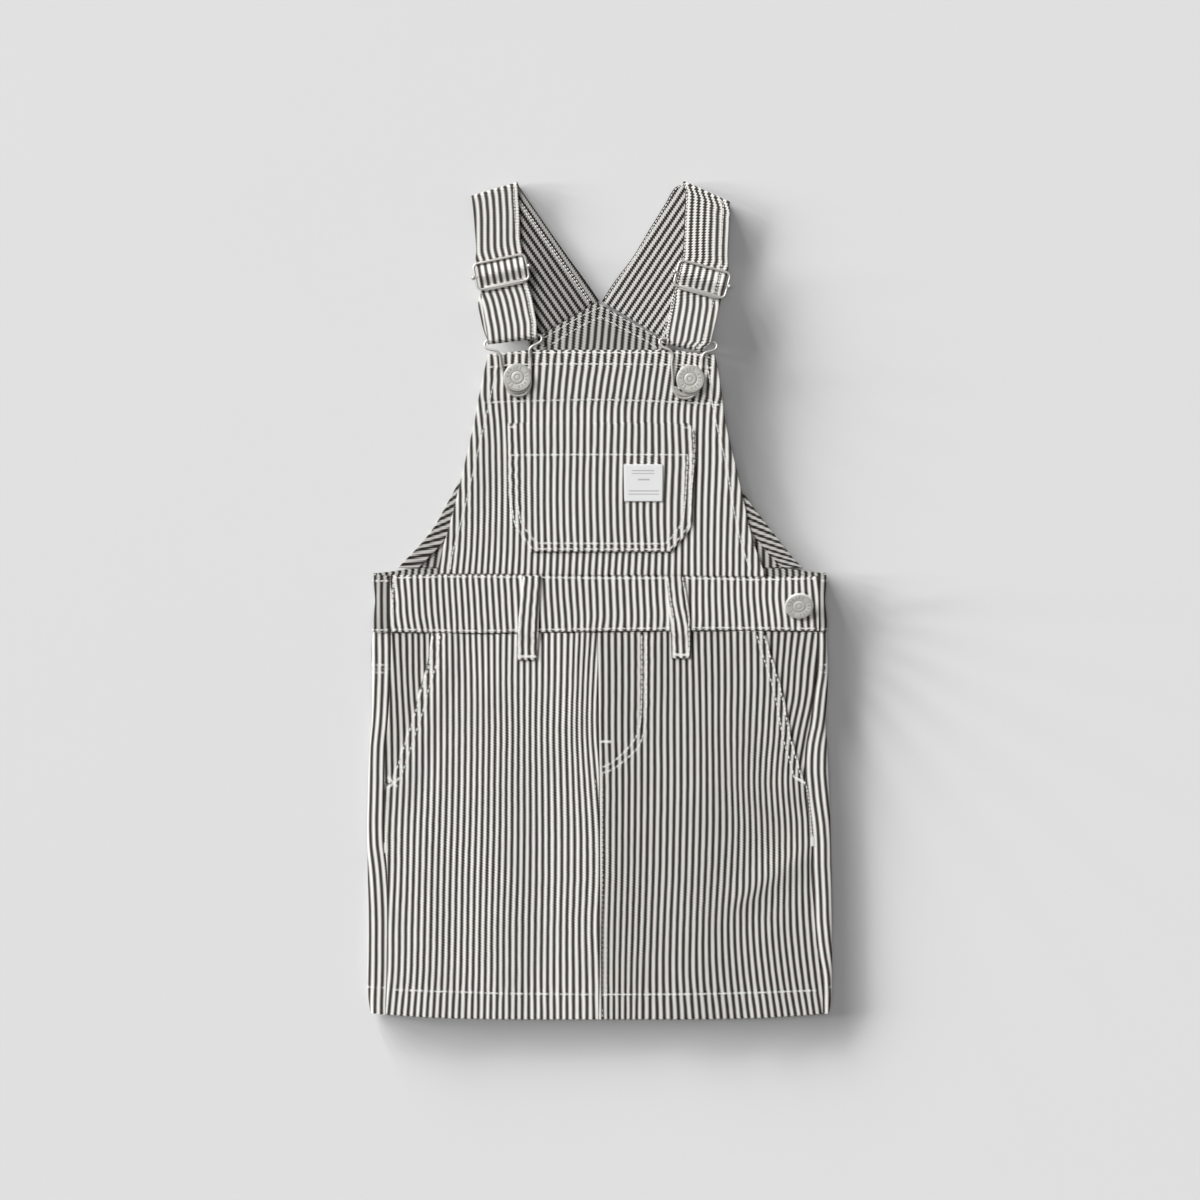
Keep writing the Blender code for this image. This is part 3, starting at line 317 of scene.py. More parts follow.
BIB_RUN = Shape(
    "3 7 9 15 20 24 28 32 36 40 44 48",
    (16, -87.0, -71.7, -64.2, -40.9, -21.2, -4.9, 11.2, 27.7, 44.4, 60.6, 76.2, 92.0),
    (34, -85.4, -70.6, -63.3, -40.2, -20.4, -3.9, 12.3, 28.6, 44.8, 60.5, 76.4, 92.1),
    (60, -84.9, -70.0, -62.7, -40.5, -20.9, -4.1, 12.5, 29.0, 45.3, 60.7, 77.1, 93.3),
    (85, -85.3, -70.3, -62.8, -40.7, -20.5, -4.0, 12.6, 29.5, 45.6, 61.4, 78.2, 94.6),
    (108, -86.2, -71.1, -63.5, -40.9, -20.2, -3.6, 13.1, 29.6, 46.1, 61.9, 78.4, 94.9),
    (121, -88.0, -72.6, -64.6, -40.8, -20.1, -3.2, 13.5, 30.2, 46.5, 62.6, 79.6, 96.2),
    (128, -88.9, -73.4, -65.3, -40.6, -19.5, -2.3, 14.6, 31.2, 47.6, 64.1, 80.8, 97.4),
    (136, -89.0, -73.2, -65.2, -40.0, -18.7, -1.3, 15.8, 32.2, 49.0, 64.6, 81.2, 98.0),
    (144, -89.2, -73.3, -65.1, -39.6, -17.7, 0.0, 17.1, 33.4, 50.3, 65.2, 81.6, 98.4),
    (153, -89.4, -73.5, -65.1, -39.1, -16.8, 0.9, 18.2, 34.6, 51.6, 65.8, 82.0, 98.8),
)
POCKET_RUN = Shape(
    "0 4 8 12 16 20 24 26",
    (32, -51.6, -36.0, -19.9, -3.4, 13.4, 30.0, 46.2, 54.0),
    (54, -51.7, -36.6, -20.7, -4.0, 12.5, 29.0, 46.0, 54.9),
    (70, -52.0, -36.7, -20.8, -4.3, 12.4, 29.2, 46.5, 55.3),
    (86, -52.2, -36.6, -20.4, -4.0, 12.7, 29.9, 47.1, 55.8),
    (110, -53.0, -36.8, -20.2, -3.4, 13.5, 30.0, 46.4, 54.8),
)
BACK_BIB_RUN = Shape(
    "-24 0 24",
    (16, -114.5, -10.0, 94.5),
    (60, -108.0, -7.0, 95.0),
    (120, -104.0, -5.0, 99.0),
    (160, -105.0, -1.6, 102.0),
    (186, -103.0, 1.0, 104.5),
)
LEFT_FACING_RUN = Shape(
    "0.5 2.5 4.5 6.5 8.5 9.5",
    (-122, 22.6, 29.9, 35.0, 40.2, 43.4, 46.0),
    (-108, 24.0, 32.7, 39.6, 46.5, 52.3, 55.0),
    (-96, 25.1, 35.1, 43.7, 52.2, 60.3, 63.8),
    (-86, 26.0, 37.2, 47.2, 57.0, 67.4, 72.5),
)
RIGHT_FACING_RUN = Shape(
    "0.5 2.5 4.5 6.5 8.5 9.5",
    (88, 29.9, 37.0, 44.3, 52.7, 60.9, 65.5),
    (100, 26.7, 33.1, 40.0, 47.7, 54.1, 57.5),
    (110, 24.0, 29.9, 36.5, 43.3, 48.4, 51.0),
    (124, 20.2, 25.6, 31.6, 37.6, 41.0, 43.0),
)
LEFT_LOOP_RUN = Shape("0 1", (-36, -46.2, -42.2), (-16, -46.0, -41.9), (0, -44.8, -40.8), (16, -43.6, -39.5))
RIGHT_LOOP_RUN = Shape("0 1", (-36, 49.8, 53.9), (-16, 48.6, 52.6), (0, 45.7, 49.7), (16, 44.3, 48.4))


def stripes(run, x, y):
    """The stripe number at each place: whole on the middle of a white stripe, and a half on a dark one."""
    numbers = [float(name) for name in run.columns]
    lines = np.array([run(name, y) for name in run.columns])
    found = np.zeros_like(x)
    for i in range(len(numbers) - 1):
        share = (x - lines[i]) / (lines[i + 1] - lines[i])
        here = np.ones_like(x, bool)
        if i > 0:
            here &= share >= 0
        if i < len(numbers) - 2:
            here &= share < 1
        found[here] = (numbers[i] + share * (numbers[i + 1] - numbers[i]))[here]
    return found


print("stripe guides for", 10, "panels")

# %% [markdown]
# ## How high the cloth lies
#
# The back lies flat on the surface and the front lies over it with a little air between.  A few soft
# ridges and troughs were left by hand when the dress was smoothed out.  The front layers all follow
# the same relief, so that a pocket never dips through the bib below it.

# %% Heights of the layers
WALL = 1.2
BAND_WALL = 1.8
STRAP_WALL = 1.4
FACING_WALL = 1.0
BIB_TOP_WALL = 2.0
LABEL_WALL = 0.7
GAP = 0.3
INNER_ROOM = 1.2
SEAM = 0.3
SKIRT_REST = WALL + INNER_ROOM
BAND_REST = BAND_WALL + INNER_ROOM
BIB_REST = WALL + GAP + FACING_WALL + GAP

FOLDS = [
    (88, -183, 124, -158, 9, 1.4),
    (-18, -24, -17, -72, 8, 1.1),
    (-72, -60, -64, -232, 20, 1.2),
    (60, -84, 64, -236, 18, 1.1),
    (-110, -150, -104, -250, 10, 0.8),
    (106, -205, 103, -256, 10, 0.9),
    (-34, -110, -36, -236, 12, -0.7),
    (28, -120, 30, -250, 12, -0.6),
    (88, -60, 92, -140, 9, 0.6),
    (-92, -40, -98, -120, 9, 0.6),
    (-118, -14, -116, 12, 9, 0.5),
    (112, -12, 114, 12, 9, 0.5),
    (0, 40, 0, 104, 40, 0.8),
    (-80, 60, -74, 112, 7, 0.5),
    (80, 58, 74, 108, 7, 0.5),
]


def to_line(x, y, x0, y0, x1, y1):
    """Distance of each place from a straight line between two points, and how far along that is."""
    along = ((x - x0) * (x1 - x0) + (y - y0) * (y1 - y0)) / ((x1 - x0) ** 2 + (y1 - y0) ** 2)
    share = np.clip(along, 0.0, 1.0)
    return np.hypot(x - lerp(x0, x1, share), y - lerp(y0, y1, share)), share


def relief(x, y):
    """How far the soft folds raise the front of the dress at each place."""
    total = 0.0
    for *ends, half_width, height in FOLDS:
        total = total + height * bell(to_line(x, y, *ends)[0], half_width)
    return total


def drape(x, y):
    """Small uneven waves of cloth that has been worn and washed."""
    slow = np.sin(x / 17.0 + 1.3 * np.sin(y / 31.0)) * np.sin(y / 43.0 + x / 90.0)
    fine = np.sin(x / 6.3 + y / 19.0 + 2.0 * np.sin(y / 23.0)) * np.sin(y / 11.0 - x / 37.0)
    return 0.24 * slow + 0.09 * fine


def pocket_lift(x, y):
    """How far the side pieces under the pocket mouths raise the front."""
    left_end = MOUTH("left", y) + SIDE_PIECE_REACH
    right_end = MOUTH("right", y) - SIDE_PIECE_REACH
    beside = np.minimum(x - left_end, right_end - x) - WALL
    below = SIDE_PIECE_END_Y - WALL - y
    return (WALL + GAP) * (1 - ease(beside / POCKET_SLOPE)) * (1 - ease(below / POCKET_SLOPE))


def side_under(x, y):
    """Underside of the side pieces in the pocket mouths."""
    return SKIRT_REST + relief(x, y) + drape(x, y)


def skirt_under(x, y):
    """Underside of the front skirt."""
    return side_under(x, y) + pocket_lift(x, y)


def band_under(x, y):
    """Underside of the front waistband."""
    return BAND_REST + relief(x, y) + drape(x, y)


def bib_under(x, y):
    """Underside of the bib."""
    return BIB_REST + relief(x, y) + drape(x, y)


def bib_wall(x, y):
    """The bib is doubled above the row of stitching that holds its hem."""
    return lerp(WALL, BIB_TOP_WALL, ease((y - BIB_HEM_Y) / 4.0 + 0.5))


def on_skirt(x, y):
    """Height in plan of a place of the skirt once it follows the waist seam and the rising hem."""
    down = np.clip((-200.0 - y) / 60.0, 0.0, 1.0)
    near_waist = 1.0 - ease((WAIST_SEAM_Y - y) / 30.0)
    waist = (BAND("bottom", x) - WAIST_SEAM_Y) * near_waist
    return y + HEM_RISE * down**2 * np.abs(x / HALF_WIDTH) ** 4 + waist


front_height = float(skirt_under(np.array(0.0), np.array(-150.0)) + WALL)
print("front of the skirt lies", round(front_height, 2), "mm high")

# %% [markdown]
# ## From a plan to a shell of cloth
#
# Each panel is a grid of places: close together where the cloth turns over at a cut edge, evenly
# spaced between.  The upper face carries the relief, a groove along every row of stitching and the
# pucker that thread pulls into washed cotton.  Stripe numbers go into the UV map, so that the
# pattern follows the cloth and not the room.

# %% Grids and shells
RIM = np.array((0.0, 0.08, 0.3, 0.65, 1.1))
PITCH = 1.25
CREASE = math.radians(50)


def spread(length, pitch=PITCH):
    """Places from 0 to a length: close together at both rims and even between."""
    inner = length - 2 * RIM[-1]
    count = max(2, round(inner / pitch))
    middle = RIM[-1] + inner * np.arange(1, count) / count
    return np.concatenate((RIM, middle, length - RIM[::-1]))


def grid_between(one_edge, other_edge, y, pitch=PITCH):
    """Plan places between two edges of a panel, one row for each height."""
    left, right = np.minimum(one_edge, other_edge), np.maximum(one_edge, other_edge)
    share = spread(float(np.mean(right - left)), pitch)
    x = lerp(left[:, None], right[:, None], (share / share[-1])[None, :])
    return x, np.repeat(y[:, None], len(share), axis=1)


def edge_grid(shape, low, high, pitch=PITCH):
    """Plan places between the two edges of a table."""
    y = low + spread(high - low, pitch)
    return grid_between(shape("left", y), shape("right", y), y, pitch)


def rim_drop(distance, radius=0.6):
    """How far a rounded edge falls at a distance from the rim."""
    inside = np.clip(radius - distance, 0.0, radius)
    return radius - np.sqrt(radius**2 - inside**2)


def developed(places, axis):
    """Length of cloth from the first place of each row (axis 1) or column (axis 0) to the others."""
    steps = np.linalg.norm(np.diff(places, axis=axis), axis=2)
    return np.insert(np.cumsum(steps, axis=axis), 0, 0.0, axis=axis)


def to_world(points):
    """Plan millimetres as metres in the dress's frame."""
    return (np.asarray(points, float) - PLAN_MIDDLE) * MM


def put(name, data):
    """A new object in the scene."""
    found = bpy.data.objects.new(name, data)
    bpy.context.scene.collection.objects.link(found)
    return found


def mesh_piece(name, points, faces):
    """A smooth object from plan points and faces."""
    mesh = bpy.data.meshes.new(name)
    mesh.from_pydata(to_world(points).tolist(), [], faces)
    mesh.update()
    mesh.shade_smooth()
    return put(name, mesh)


def shell(name, upper, lower, numbers, along):
    """A closed wall of cloth between two grids of points; returns the piece and its cloth's area."""
    rows, columns = upper.shape[:2]
    index = np.arange(rows * columns).reshape(rows, columns)
    quads = np.stack((index[:-1, :-1], index[:-1, 1:], index[1:, 1:], index[1:, :-1]), axis=2).reshape(-1, 4)
    rim = np.concatenate((index[0], index[1:, -1], index[-1, -2::-1], index[-2:0:-1, 0]))
    after = np.roll(rim, -1)
    under = rows * columns
    walls = np.stack((rim, rim + under, after + under, after), axis=1)
    faces = np.concatenate((quads, quads[:, ::-1] + under, walls))
    piece = mesh_piece(name, np.concatenate((upper.reshape(-1, 3), lower.reshape(-1, 3))), faces.tolist())
    mesh = piece.data
    mesh.set_sharp_from_angle(angle=CREASE)
    corners = np.zeros(len(mesh.loops), np.int32)
    mesh.loops.foreach_get("vertex_index", corners)
    uv = np.tile(np.stack((numbers.ravel(), along.ravel()), axis=1), (2, 1))[corners]
    mesh.uv_layers.new(name="weave").data.foreach_set("uv", uv.astype(np.float32).ravel())
    a, b, c, d = (upper.reshape(-1, 3)[quads[:, k]] for k in range(4))
    area = np.linalg.norm(np.cross(c - a, d - b), axis=1).sum() / 2
    return piece, area * MM**2


print("a rim is rounded by", rim_drop(0.0), "mm")

# %% Rows of stitching
def smooth_line(points, step=0.8, closed=False):
    """Points along a smooth line through the given ones."""
    points = np.array(points, float)
    if closed:
        guides = points[np.arange(-1, len(points) + 2) % len(points)]
    else:
        guides = np.concatenate(([2 * points[0] - points[1]], points, [2 * points[-1] - points[-2]]))
    found = []
    for before, a, b, after in zip(guides, guides[1:], guides[2:], guides[3:]):
        count = max(2, int(np.linalg.norm(b - a) / step))
        t = np.linspace(0, 1, count, endpoint=False)[:, None]
        bend = 2 * before - 5 * a + 4 * b - after
        twist = 3 * a - before - 3 * b + after
        found.append(0.5 * (2 * a + (b - before) * t + bend * t**2 + twist * t**3))
    return np.concatenate(found if closed else found + [points[-1:]])


def edge_line(shape, column, inside, low, high):
    """A row of stitching that keeps a distance inside one edge of a piece."""
    y = np.linspace(low, high, 24)
    return np.stack((shape(column, y) + inside, y), axis=1)


STITCH_DEPTH = 0.22
PUCKER = 0.09
SIDE_PULL = 0.05
PUCKER_REACH = 9.0


def groove(x, y, lines):
    """How far rows of stitching pull cloth down, and how many stripes' widths they pull it sideways."""
    depth = np.zeros_like(x)
    sideways = np.zeros_like(x)
    for k, line in enumerate(lines):
        path = smooth_line(line, 3.0)
        low, high = path.min(axis=0) - PUCKER_REACH, path.max(axis=0) + PUCKER_REACH
        near = (x > low[0]) & (x < high[0]) & (y > low[1]) & (y < high[1])
        if not near.any():
            continue
        px, py = x[near], y[near]
        away = np.full(px.shape, np.inf)
        run = np.zeros(px.shape)
        done = 0.0
        for start, end in zip(path, path[1:]):
            distance, share = to_line(px, py, *start, *end)
            length = math.dist(start, end)
            closer = distance < away
            away[closer] = distance[closer]
            run[closer] = done + share[closer] * length
            done += length
        ripple = np.sin(2 * math.pi * run / 7.3 + k + 1.7 * np.sin(run / 23.0))
        sway = np.sin(2 * math.pi * run / 8.3 + 2 * k + 1.3 * np.sin(run / 15.0))
        pull = STITCH_DEPTH * bell(away, 1.1)
        depth[near] = np.maximum(depth[near], pull) + PUCKER * ripple * bell(away, 4.0)
        sideways[near] += SIDE_PULL * sway * bell(away, 3.0)
    return depth, sideways


print("a row of stitching lies", STITCH_DEPTH, "mm deep")

# %% [markdown]
# ## Thread
#
# One stitch is a short fat grain of thread that dips into the cloth at both ends.  It is modelled
# once and copied along every row.

# %% One stitch and how it is copied
def deselect():
    """Nothing stays selected before a new piece is made."""
    for other in bpy.context.selected_objects:
        other.select_set(False)


deselect()
bpy.ops.mesh.primitive_uv_sphere_add(segments=7, ring_count=6, radius=1.0)
stitch_pattern = bpy.context.object
stitch_pattern.name = "stitch_pattern"
STITCH_POINTS = np.array([v.co for v in stitch_pattern.data.vertices])[:, [2, 0, 1]]
STITCH_FACES = [tuple(f.vertices) for f in stitch_pattern.data.polygons]
bpy.data.objects.remove(stitch_pattern, do_unlink=True)
STITCH_LENGTH = 2.8
STITCH_PITCH = 3.05
THREAD = 0.40
DIP = 0.12
sewn = {}


def at_run(path, run, places):
    """Points of a path at the given lengths along it."""
    return np.stack([np.interp(places, run, path[:, k]) for k in range(3)], axis=1)


def sew(name, path, ups=None, pitch=STITCH_PITCH, length=STITCH_LENGTH, width=THREAD):
    """Lays stitches along a line in space; ups point out of the cloth."""
    steps = np.linalg.norm(np.diff(path, axis=0), axis=1)
    run = np.concatenate(([0.0], np.cumsum(steps)))
    count = max(1, int(run[-1] / pitch))
    middles = (np.arange(count) + 0.5) * run[-1] / count
    at = at_run(path, run, middles)
    ahead = at_run(path, run, middles + 0.8) - at_run(path, run, middles - 0.8)
    ahead /= np.linalg.norm(ahead, axis=1)[:, None]
    up = np.tile((0.0, 0.0, 1.0), (count, 1)) if ups is None else at_run(ups, run, middles)
    side = np.cross(up, ahead)
    side /= np.linalg.norm(side, axis=1)[:, None]
    up = np.cross(ahead, side)
    half = length / 2 * (1.0 + 0.10 * np.sin(np.arange(count) * 2.399))
    a, b, c = STITCH_POINTS.T
    points = (
        at[:, None, :]
        + ahead[:, None, :] * (a[None, :] * half[:, None])[:, :, None]
        + side[:, None, :] * (b * width)[None, :, None]
        + up[:, None, :] * (c * width * 0.8 - DIP * a**2 + width * 0.25)[None, :, None]
    )
    sewn.setdefault(name, []).append(points)


def finish_thread(name):
    """Makes one piece of all the stitches laid under a name."""
    blocks = np.concatenate(sewn[name])
    size = len(STITCH_POINTS)
    faces = [tuple(v + size * i for v in face) for i in range(len(blocks)) for face in STITCH_FACES]
    print(name, "has", len(blocks), "stitches")
    return mesh_piece(name, blocks.reshape(-1, 3), faces)


def sew_flat(name, line, height, **how):
    """Lays stitches along a line of the plan, on a surface given by its height."""
    plan = smooth_line(line)
    z = height(plan[:, 0], plan[:, 1])
    sew(name, np.column_stack((plan, z)), **how)


BARTACK_ROW = 0.55
BARTACK_STEP = 0.5


def bartack(name, x0, y0, x1, y1, height, rows=2):
    """A short bar of dense stitches that stops a seam from tearing."""
    long = math.hypot(x1 - x0, y1 - y0)
    side = np.array((y0 - y1, x1 - x0)) / long
    for k in range(rows):
        off = side * (k - (rows - 1) / 2) * BARTACK_ROW
        for t in np.linspace(0, 1, max(2, int(long / BARTACK_STEP))):
            middle = lerp(np.array((x0, y0)), np.array((x1, y1)), t) + off
            line = np.array((middle - side * 0.45, middle + side * 0.45))
            z = height(line[:, 0], line[:, 1]) + 0.05
            sew(name, np.column_stack((line, z)), pitch=5.0, length=1.5, width=0.26)


print("one stitch has", len(STITCH_FACES), "faces")

# %% Panels that lie on the dress
made = {}
areas = {}


def stand_in(name, piece):
    """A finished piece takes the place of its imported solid."""
    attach(piece, "root")
    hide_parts(name)
    made[name] = piece


def cloth(name, upper, lower, numbers, along, wide, long):
    """A finished sheet of cloth; its width and length on the dress are kept for the list of sheets."""
    piece, area = shell(name + "_cloth", upper, lower, numbers, along)
    stand_in(name, piece)
    areas[name] = (float(wide), float(long), area)
    print(name, round(wide), "x", round(long), "mm,", len(piece.data.polygons), "faces")
    return piece


def lay(name, x, y, under, wall, numbers, lines=(), detail=None):
    """A panel from a grid of plan places: its underside, wall, stripe numbers and rows of stitching."""
    bottom = under(x, y)
    thick = wall(x, y) if callable(wall) else np.full_like(x, wall)
    depth, sideways = groove(x, y, lines)
    top = bottom + thick - depth
    if detail is not None:
        top = top + detail(x, y)
    plan = np.stack((x, y, np.zeros_like(x)), axis=2)
    across, down = developed(plan, 1), developed(plan, 0)
    from_rim = np.minimum(np.minimum(across, across[:, -1:] - across), np.minimum(down, down[-1:] - down))
    top = top - rim_drop(from_rim, min(0.6, float(thick.min()) * 0.55))
    upper, lower = np.stack((x, y, top), axis=2), np.stack((x, y, bottom), axis=2)
    cloth(name, upper, lower, numbers + sideways, y, across.max(), down.max())


# Thread lies this far below the face that it is sewn into.
SUNK = 0.2


def top_of(under, wall):
    """A function for the height at which thread lies on a panel."""
    return lambda x, y: under(x, y) + (wall(x, y) if callable(wall) else wall) - SUNK


SIDES = (("left", -1), ("right", 1))
print("panel tools ready")

# %% [markdown]
# ## The skirt
#
# Two front panels meet at the centre front in a flat seam.  The right one carries the curved double
# row that holds the fly facing.  The slanted pockets are hemmed with two rows and stopped with a
# bartack at their lower ends; the side piece behind shows in the mouth.

# %% Front skirt panels
CENTRE_ROWS = [
    [(-3.2, -110), (-3.0, -170), (-3.0, -258)],
    [(1.2, -106), (1.4, -150), (1.4, -200), (1.2, -258)],
    [(3.9, -107), (4.0, -150), (4.0, -200), (3.9, -258)],
]
SKIRT_STITCHES = {
    "left": [
        [(-128, -240.5), (-100, -241.5), (-50, -243), (-4, -243.5)],
    ],
    "right": [
        [(1, -243.5), (40, -243.4), (90, -242.5), (134, -241)],
        [(25.5, -21), (25.6, -50), (25.2, -68), (24.2, -78)]
        + [(22, -84), (18, -90), (13, -95), (7, -100), (1, -103)],
        [(28.5, -21), (28.6, -50), (28.2, -70), (27, -80)]
        + [(24, -89), (19, -95), (12, -101), (6, -104.8), (1, -106.5)],
    ],
}


def mouth_row(side, inside):
    """A row of stitching that follows the pocket mouth."""
    return [(float(MOUTH(side, y)) + inside, y) for y in (-21, -40, -55, -70, -85, -100, -110)]


MOUTH_ROWS = {
    "left": [mouth_row("left", 1.3), mouth_row("left", 5.6)],
    "right": [mouth_row("right", -1.3), mouth_row("right", -5.6)],
}


def front_edge(y, side):
    """Outer edge of a front panel: along the pocket mouth, then down the side seam."""
    sign = -1 if side == "left" else 1
    blend = ease((MOUTH_END_Y - y) / (MOUTH_END_Y - MOUTH_JOINS_SEAM_Y))
    return lerp(MOUTH(side, y), SKIRT(side + "_seam", y) - sign * SEAM, blend)


def seam_gather(x, y):
    """The cloth is drawn in a little where the band is sewn to it, and at the hem."""
    waist = 0.26 * np.sin(x / 2.6 + np.sin(x / 9.0)) * bell(y - WAIST_SEAM_Y, 9.0)
    hem = 0.20 * np.sin((x + 0.5 * y) / 2.2 + 1.4 * np.sin(x / 13.0)) * bell(y + 249.0, 7.0)
    return waist + hem


def sharper_fold(x, y):
    """Levels drawn apart across the slanting fold by the right side seam, so that its stripes kink."""
    off = (y - lerp(-186.6, -152.0, (x - 86.5) / 42.2)) / 10.0
    return y + 14.0 * off * np.exp(-(off**2)) * ease((x - 76.0) / 14.0)


SKIRT_RUN = {"left": SKIRT_LEFT_RUN, "right": SKIRT_RIGHT_RUN}
for side, sign in SIDES:
    level = HEM_Y + spread(WAIST_SEAM_Y - SEAM - HEM_Y)
    x, y = grid_between(front_edge(level, side), SKIRT("centre", level) + sign * SEAM / 2, level)
    y = on_skirt(x, y)
    numbers = stripes(SKIRT_RUN[side], x, sharper_fold(x, y))
    rows = SKIRT_STITCHES[side] + MOUTH_ROWS[side]
    lay("skirt_front_" + side, x, y, skirt_under, WALL, numbers, rows, seam_gather)

skirt_top = top_of(skirt_under, WALL)


def seam_ridge(x, y):
    """The thick overcast edges that stand up in the side seams below the pockets."""
    return skirt_under(x, y) + WALL + 0.1


for side, sign in SIDES:
    for line in SKIRT_STITCHES[side]:
        sew_flat("skirt_thread", line, skirt_top)
    for line in MOUTH_ROWS[side]:
        sew_flat("skirt_thread", line, skirt_top, length=2.2, width=0.46)
for line in CENTRE_ROWS:
    sew_flat("skirt_thread", line, skirt_top, length=2.2, width=0.27)
bartack("skirt_thread", 0.4, -87.0, 6.4, -87.0, skirt_top)
for line in (
    [(-131.6, -116), (-132.2, -126), (-132.5, -140), (-132.9, -150)],
    [(127.3, -114), (129.2, -126), (130.3, -138), (131.0, -146)],
):
    sew_flat("skirt_thread", line, seam_ridge, pitch=2.3, length=1.8, width=0.42)
    x, y = line[-1]
    bartack("skirt_thread", x, y, x + 0.2, y - 5.5, seam_ridge, rows=3)
for ends in (
    (-131.4, -109.0, -125.8, -114.6),
    (-130.8, -115.0, -124.6, -109.6),
    (120.8, -109.2, 126.4, -112.8),
):
    bartack("skirt_thread", *ends, skirt_top)

# %% Side pieces in the pocket mouths
SIDE_RUN = {"left": SIDE_LEFT_RUN, "right": SIDE_RIGHT_RUN}
for side, sign in SIDES:
    level = SIDE_PIECE_END_Y + spread(WAIST_SEAM_Y - SEAM - SIDE_PIECE_END_Y)
    seam = SKIRT(side + "_seam", level) - sign * SEAM
    x, y = grid_between(seam, MOUTH(side, level) - sign * SIDE_PIECE_REACH, level)
    y = on_skirt(x, y)
    lay("pocket_side_" + side, x, y, side_under, WALL, stripes(SIDE_RUN[side], x, y))

# %% [markdown]
# ## The back of the skirt wraps round both sides
#
# The side seams lie on the front, a centimetre inside the folds.  So one panel makes a flange on the
# front, a soft turn and the whole back.  Its stripe numbers come from the developed length round
# that section, which is why the stripes crowd together towards the folds.

# %% Wrapped sections
TURN = 4.4
FLANGE = np.array((0.0, 0.08, 0.3, 0.65, 1.1, 2.0))
UNDER_LIFT = 0.25


def turned_side(seam, fold, sign, height, wall):
    """One side of a section: the flange on the front and the turn below it, as outer and inner points."""
    half = height / 2
    reach = np.minimum(TURN, np.abs(seam - fold) - 2.4)
    points = []
    for step, drop in zip(FLANGE, rim_drop(FLANGE)):
        x = seam - sign * step
        points.append((x, height - drop, x, height - wall))
    for angle in np.linspace(0, math.pi, 15):
        out, up = 1 - math.sin(angle), math.cos(angle)
        inner_x = fold + sign * (wall + (reach - wall) * out)
        points.append((fold + sign * reach * out, half + half * up, inner_x, half + (half - wall) * up))
    return points, fold + sign * reach


def wrapped(seams, folds, height, wall, pitch=3.0):
    """Outer x and z and inner x and z of a wrapped section, one row for each level."""
    left, left_flat = turned_side(seams[0], folds[0], 1, height, wall)
    right, right_flat = turned_side(seams[1], folds[1], -1, height, wall)
    count = int((float(np.mean(folds[1] - folds[0])) - 2 * TURN) / pitch)
    flat = [lerp(left_flat, right_flat, k / count) for k in range(1, count)]
    points = left + [(x, 0.0, x, wall) for x in flat] + right[::-1]
    return [np.stack([np.broadcast_to(p[k], folds[0].shape) for p in points], axis=1) for k in range(4)]


FIRST_WHITE = Shape(
    "left right",
    (-260, 0.9, 2.2),
    (-225, 1.0, 2.1),
    (-200, 1.2, 1.8),
    (-170, 2.0, 3.0),
    (-150, 2.7, 2.4),
    (-100, 2.1, 2.1),
    (-60, 2.6, 2.2),
    (-19, 3.2, 2.4),
    (0, 3.5, 2.0),
    (20, 3.3, 2.2),
)


def wrapped_numbers(run, level):
    """Stripe numbers round a section, counted from each side seam and eased together over the back."""
    whole = run[:, -1:]
    first, last = FIRST_WHITE("left", level)[:, None], FIRST_WHITE("right", level)[:, None]
    count = round(float(np.mean(whole - first - last)) / STRIPE)
    from_left = (run - first) / STRIPE
    from_right = count - (whole - last - run) / STRIPE
    return lerp(from_left, from_right, ease(run / whole * 1.2 - 0.1))


def wrap(name, level, seams, folds, height, wall, plan_y):
    """A panel that runs round both sides; plan_y gives its heights in plan."""
    x, z, inner_x, inner_z = wrapped(seams, folds, height, wall)
    y = plan_y(x, z)
    numbers = wrapped_numbers(developed(np.stack((x, z), axis=2), 1), level)
    upper = np.stack((x, y, np.maximum(z, UNDER_LIFT)), axis=2)
    lower = np.stack((inner_x, y, inner_z), axis=2)
    cloth(name, upper, lower, numbers, y, developed(upper, 1).max(), developed(upper, 0).max())
    return upper


def wrap_skirt(name, low, high):
    """A stretch of the back skirt between two levels."""
    level = low + spread(high - low, 2.4)
    seams = SKIRT("left_seam", level), SKIRT("right_seam", level)
    folds = SKIRT("left_fold", level), SKIRT("right_fold", level)
    return wrap(name, level, seams, folds, SKIRT_REST + WALL, WALL, lambda x, z: on_skirt(x, level[:, None]))


yoke = wrap_skirt("back_yoke", YOKE_SEAM_Y + SEAM / 2, WAIST_SEAM_Y - SEAM)
back = wrap_skirt("skirt_back", HEM_Y, YOKE_SEAM_Y - SEAM / 2)


def sew_round(name, upper, level):
    """A row of stitching round a wrapped section at one height of the plan."""
    heights = upper[:, upper.shape[1] // 2, 1]
    row = int(np.argmin(np.abs(heights - level)))
    line = upper[row] + (0.0, level - heights[row], 0.0)
    ahead = np.gradient(line, axis=0)
    outward = np.column_stack((ahead[:, 2], np.zeros(len(line)), -ahead[:, 0]))
    outward /= np.linalg.norm(outward, axis=1)[:, None]
    sew(name, line[2:-2] - outward[2:-2] * SUNK, outward[2:-2], width=THREAD)


sew_round("back_thread", yoke, YOKE_SEAM_Y + 2.5)
sew_round("back_thread", back, YOKE_SEAM_Y - 2.2)
sew_round("back_thread", back, -241.0)

# %% [markdown]
# ## The waistband and its loops

# %% Waistband
BAND_STITCHES = [
    [(-128.6, 14.3), (-100, 14.9), (-75, 14.9), (-45, 14.7), (0, 14.1)]
    + [(45, 14.1), (75, 13.6), (95, 13.2), (133, 13.9)],
    [(-128.6, -17.6), (-100, -18.0), (-75, -18.4), (-45, -17.8), (0, -17.2)]
    + [(45, -16.8), (80, -16.6), (133, -17.0)],
    [(-128.3, 14.0), (-128.3, 0), (-128.0, -17.0)],
]


